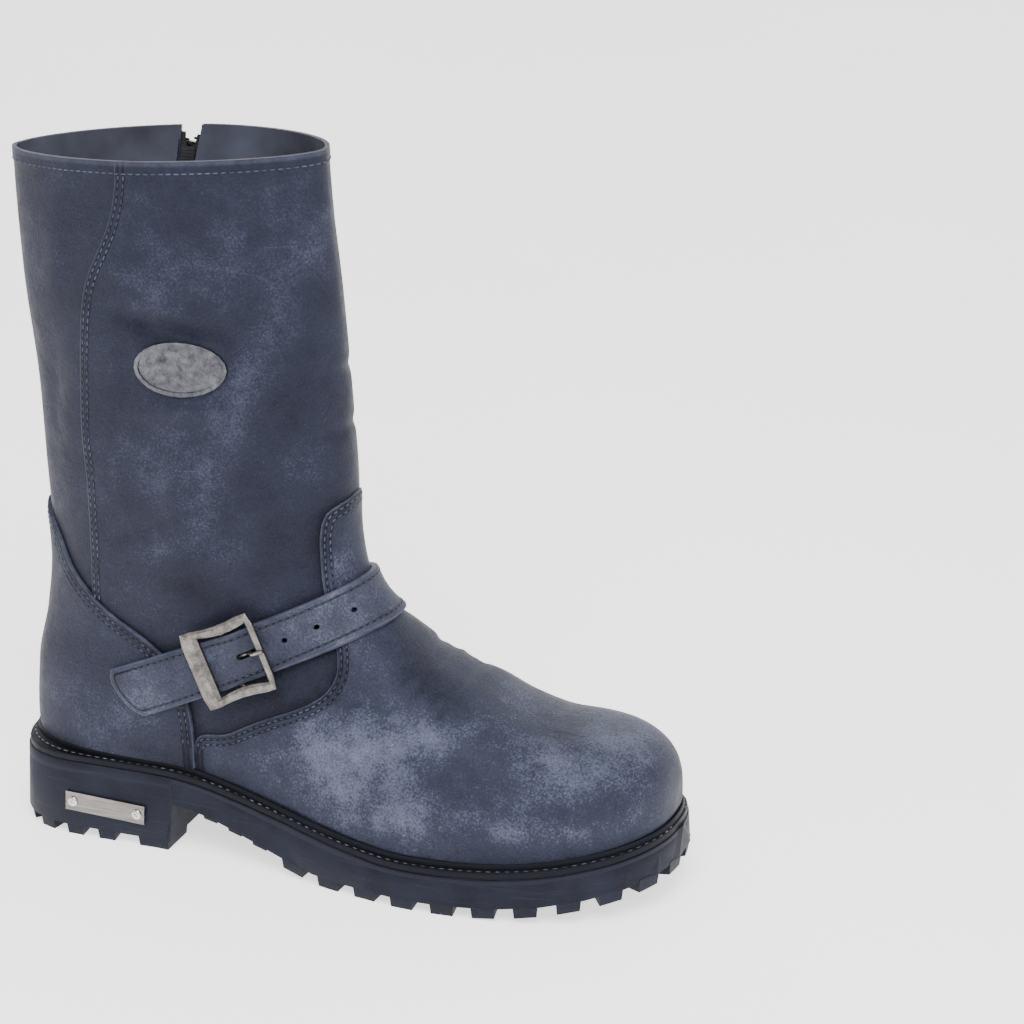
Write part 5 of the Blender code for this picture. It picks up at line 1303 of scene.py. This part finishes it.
# Badge and heel plate. Stamped metal with a dark patina. The plate is brushed along its length and held
# by two screws with cross slots.
finish_node("shaft_badge", plain_metal("badge_metal", "#303136", "#6c6c73", 0.38))
round_edges("shaft_badge", 0.0003)
finish_node("heel_plate", plain_metal("plate_metal", "#585654", "#8f8b88", 0.30, brushed=(0.12, 0.12, 2.2)))
round_edges("heel_plate", 0.0003)
screw_metal = plain_metal("screw_metal", "#a8a6a3", "#dcdad7", 0.22)
for name in ("heel_plate_screw_back", "heel_plate_screw_front"):
    corners = np.array([v.co for v in nodes[name].data.vertices])
    centre = corners.mean(0)
    axes = np.linalg.eigh((corners - centre).T @ (corners - centre))[1]
    off = axes[:, 0] * (1 if axes[1, 0] < 0 else -1)
    along = np.cross(off, [0.0, 0.0, 1.0])
    along = along / np.linalg.norm(along)
    up = np.cross(along, off)
    radius = 0.0023
    sides = 32
    points = []
    for share, height in ((1.0, -0.00045), (1.0, 0.0), (0.93, 0.00022), (0.75, 0.00038), (0.5, 0.00045)):
        for k in range(sides):
            turn = 2 * math.pi * k / sides
            round_it = along * math.cos(turn) + up * math.sin(turn)
            points.append(centre + radius * share * round_it + off * height)
    faces = [[j * sides + k, j * sides + (k + 1) % sides, (j + 1) * sides + (k + 1) % sides,
              (j + 1) * sides + k] for j in range(4) for k in range(sides)]
    arm = 0.00115
    half_arm = 0.00026
    cross = [(half_arm, half_arm), (arm, half_arm), (arm, -half_arm), (half_arm, -half_arm),
             (half_arm, -arm), (-half_arm, -arm), (-half_arm, -half_arm), (-arm, -half_arm),
             (-arm, half_arm), (-half_arm, half_arm), (-half_arm, arm), (half_arm, arm)][::-1]
    cos, sin = math.cos(0.5), math.sin(0.5)
    order = [(a * cos - b * sin, a * sin + b * cos) for a, b in cross]
    base = len(points)
    points += [centre + along * a + up * b + off * 0.00045 for a, b in order]
    points += [centre + along * a * 0.7 + up * b * 0.7 - off * 0.0001 for a, b in order]
    ring = [4 * sides + k for k in range(sides)]
    for k in range(12):
        at = math.atan2(order[k][1], order[k][0])
        nxt = math.atan2(order[(k + 1) % 12][1], order[(k + 1) % 12][0])
        first = round(at / (2 * math.pi) * sides) % sides
        stop = round(nxt / (2 * math.pi) * sides) % sides
        span = [ring[(first + j) % sides] for j in range((stop - first) % sides + 1)]
        faces.append([base + (k + 1) % 12, base + k] + span)
        faces.append([base + k, base + (k + 1) % 12, base + 12 + (k + 1) % 12, base + 12 + k])
    faces.append([base + 12 + k for k in range(12)])
    head = make_object(name + "_head", points, faces, screw_metal, slot="screw_metal", sharp=35)
    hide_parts(name)

# Floor and light. Pale paper sweep under a large soft light from above, with a weaker one from each side
# and an even sky.
paper, tree, shader, place = new_material("paper")
colour = tones(tree, noise(tree, place, 0.4, 3.0), (0.0, "#e9e8e6"), (1.0, "#f2f1f0"))
tree.links.new(colour, shader.inputs["Base Color"])
tree.links.new(colour, shader.inputs["Emission Color"])
shader.inputs["Roughness"].default_value = 0.9
shader.inputs["Emission Strength"].default_value = 1.6
steps = [(-9.0, 0.0), (1.6, 0.0), (2.0, 0.05), (2.3, 0.20), (2.5, 0.45), (2.6, 0.8), (2.65, 4.5)]
mesh = bpy.data.meshes.new("paper_sweep")
mesh.from_pydata([(x, y, z) for y, z in steps for x in (-9.0, 9.0)], [],
                 [(2 * k, 2 * k + 1, 2 * k + 3, 2 * k + 2) for k in range(len(steps) - 1)])
mesh.materials.append(paper)
mesh.shade_smooth()
floor = bpy.data.objects.new("paper_sweep", mesh)
bpy.context.scene.collection.objects.link(floor)


def soft_light(name, place, aim, size, power):
    lamp = bpy.data.lights.new(name, "AREA")
    lamp.shape = "RECTANGLE"
    lamp.size, lamp.size_y = size
    lamp.energy = power
    holder = bpy.data.objects.new(name, lamp)
    bpy.context.scene.collection.objects.link(holder)
    holder.location = place
    holder.rotation_euler = (Vector(aim) - Vector(place)).to_track_quat("-Z", "Y").to_euler()


soft_light("top_light", (0.45, -0.95, 1.5), (0.10, 0.0, 0.15), (1.2, 1.0), 44.0)
soft_light("left_light", (-1.3, -0.9, 0.9), (0.10, 0.0, 0.15), (1.0, 1.2), 6.0)
soft_light("toe_light", (1.5, -0.6, 0.9), (0.20, 0.0, 0.10), (0.8, 1.0), 9.0)
sky = bpy.data.worlds.new("studio")
sky.use_nodes = True
back = sky.node_tree.nodes["Background"]
back.inputs["Color"].default_value = linear("#f1f3f7")
back.inputs["Strength"].default_value = 0.55
bpy.context.scene.world = sky

# Camera. Stands in front of the outer side, a little towards the toe, and looks down at the instep
# through a long lens.
DISTANCE = 1.180
turn = math.radians(20.0)
rise = math.radians(20.5)
target = Vector((0.1922, 0.0, 0.169))
lens = bpy.data.cameras.new("camera")
lens.lens = 2750 / 1024 * 36.0
camera = bpy.data.objects.new("camera", lens)
bpy.context.scene.collection.objects.link(camera)
ahead = Vector((math.sin(turn) * math.cos(rise), -math.cos(turn) * math.cos(rise), math.sin(rise)))
camera.location = target + DISTANCE * ahead
camera.rotation_euler = (target - camera.location).to_track_quat("-Z", "Y").to_euler()
bpy.context.scene.camera = camera
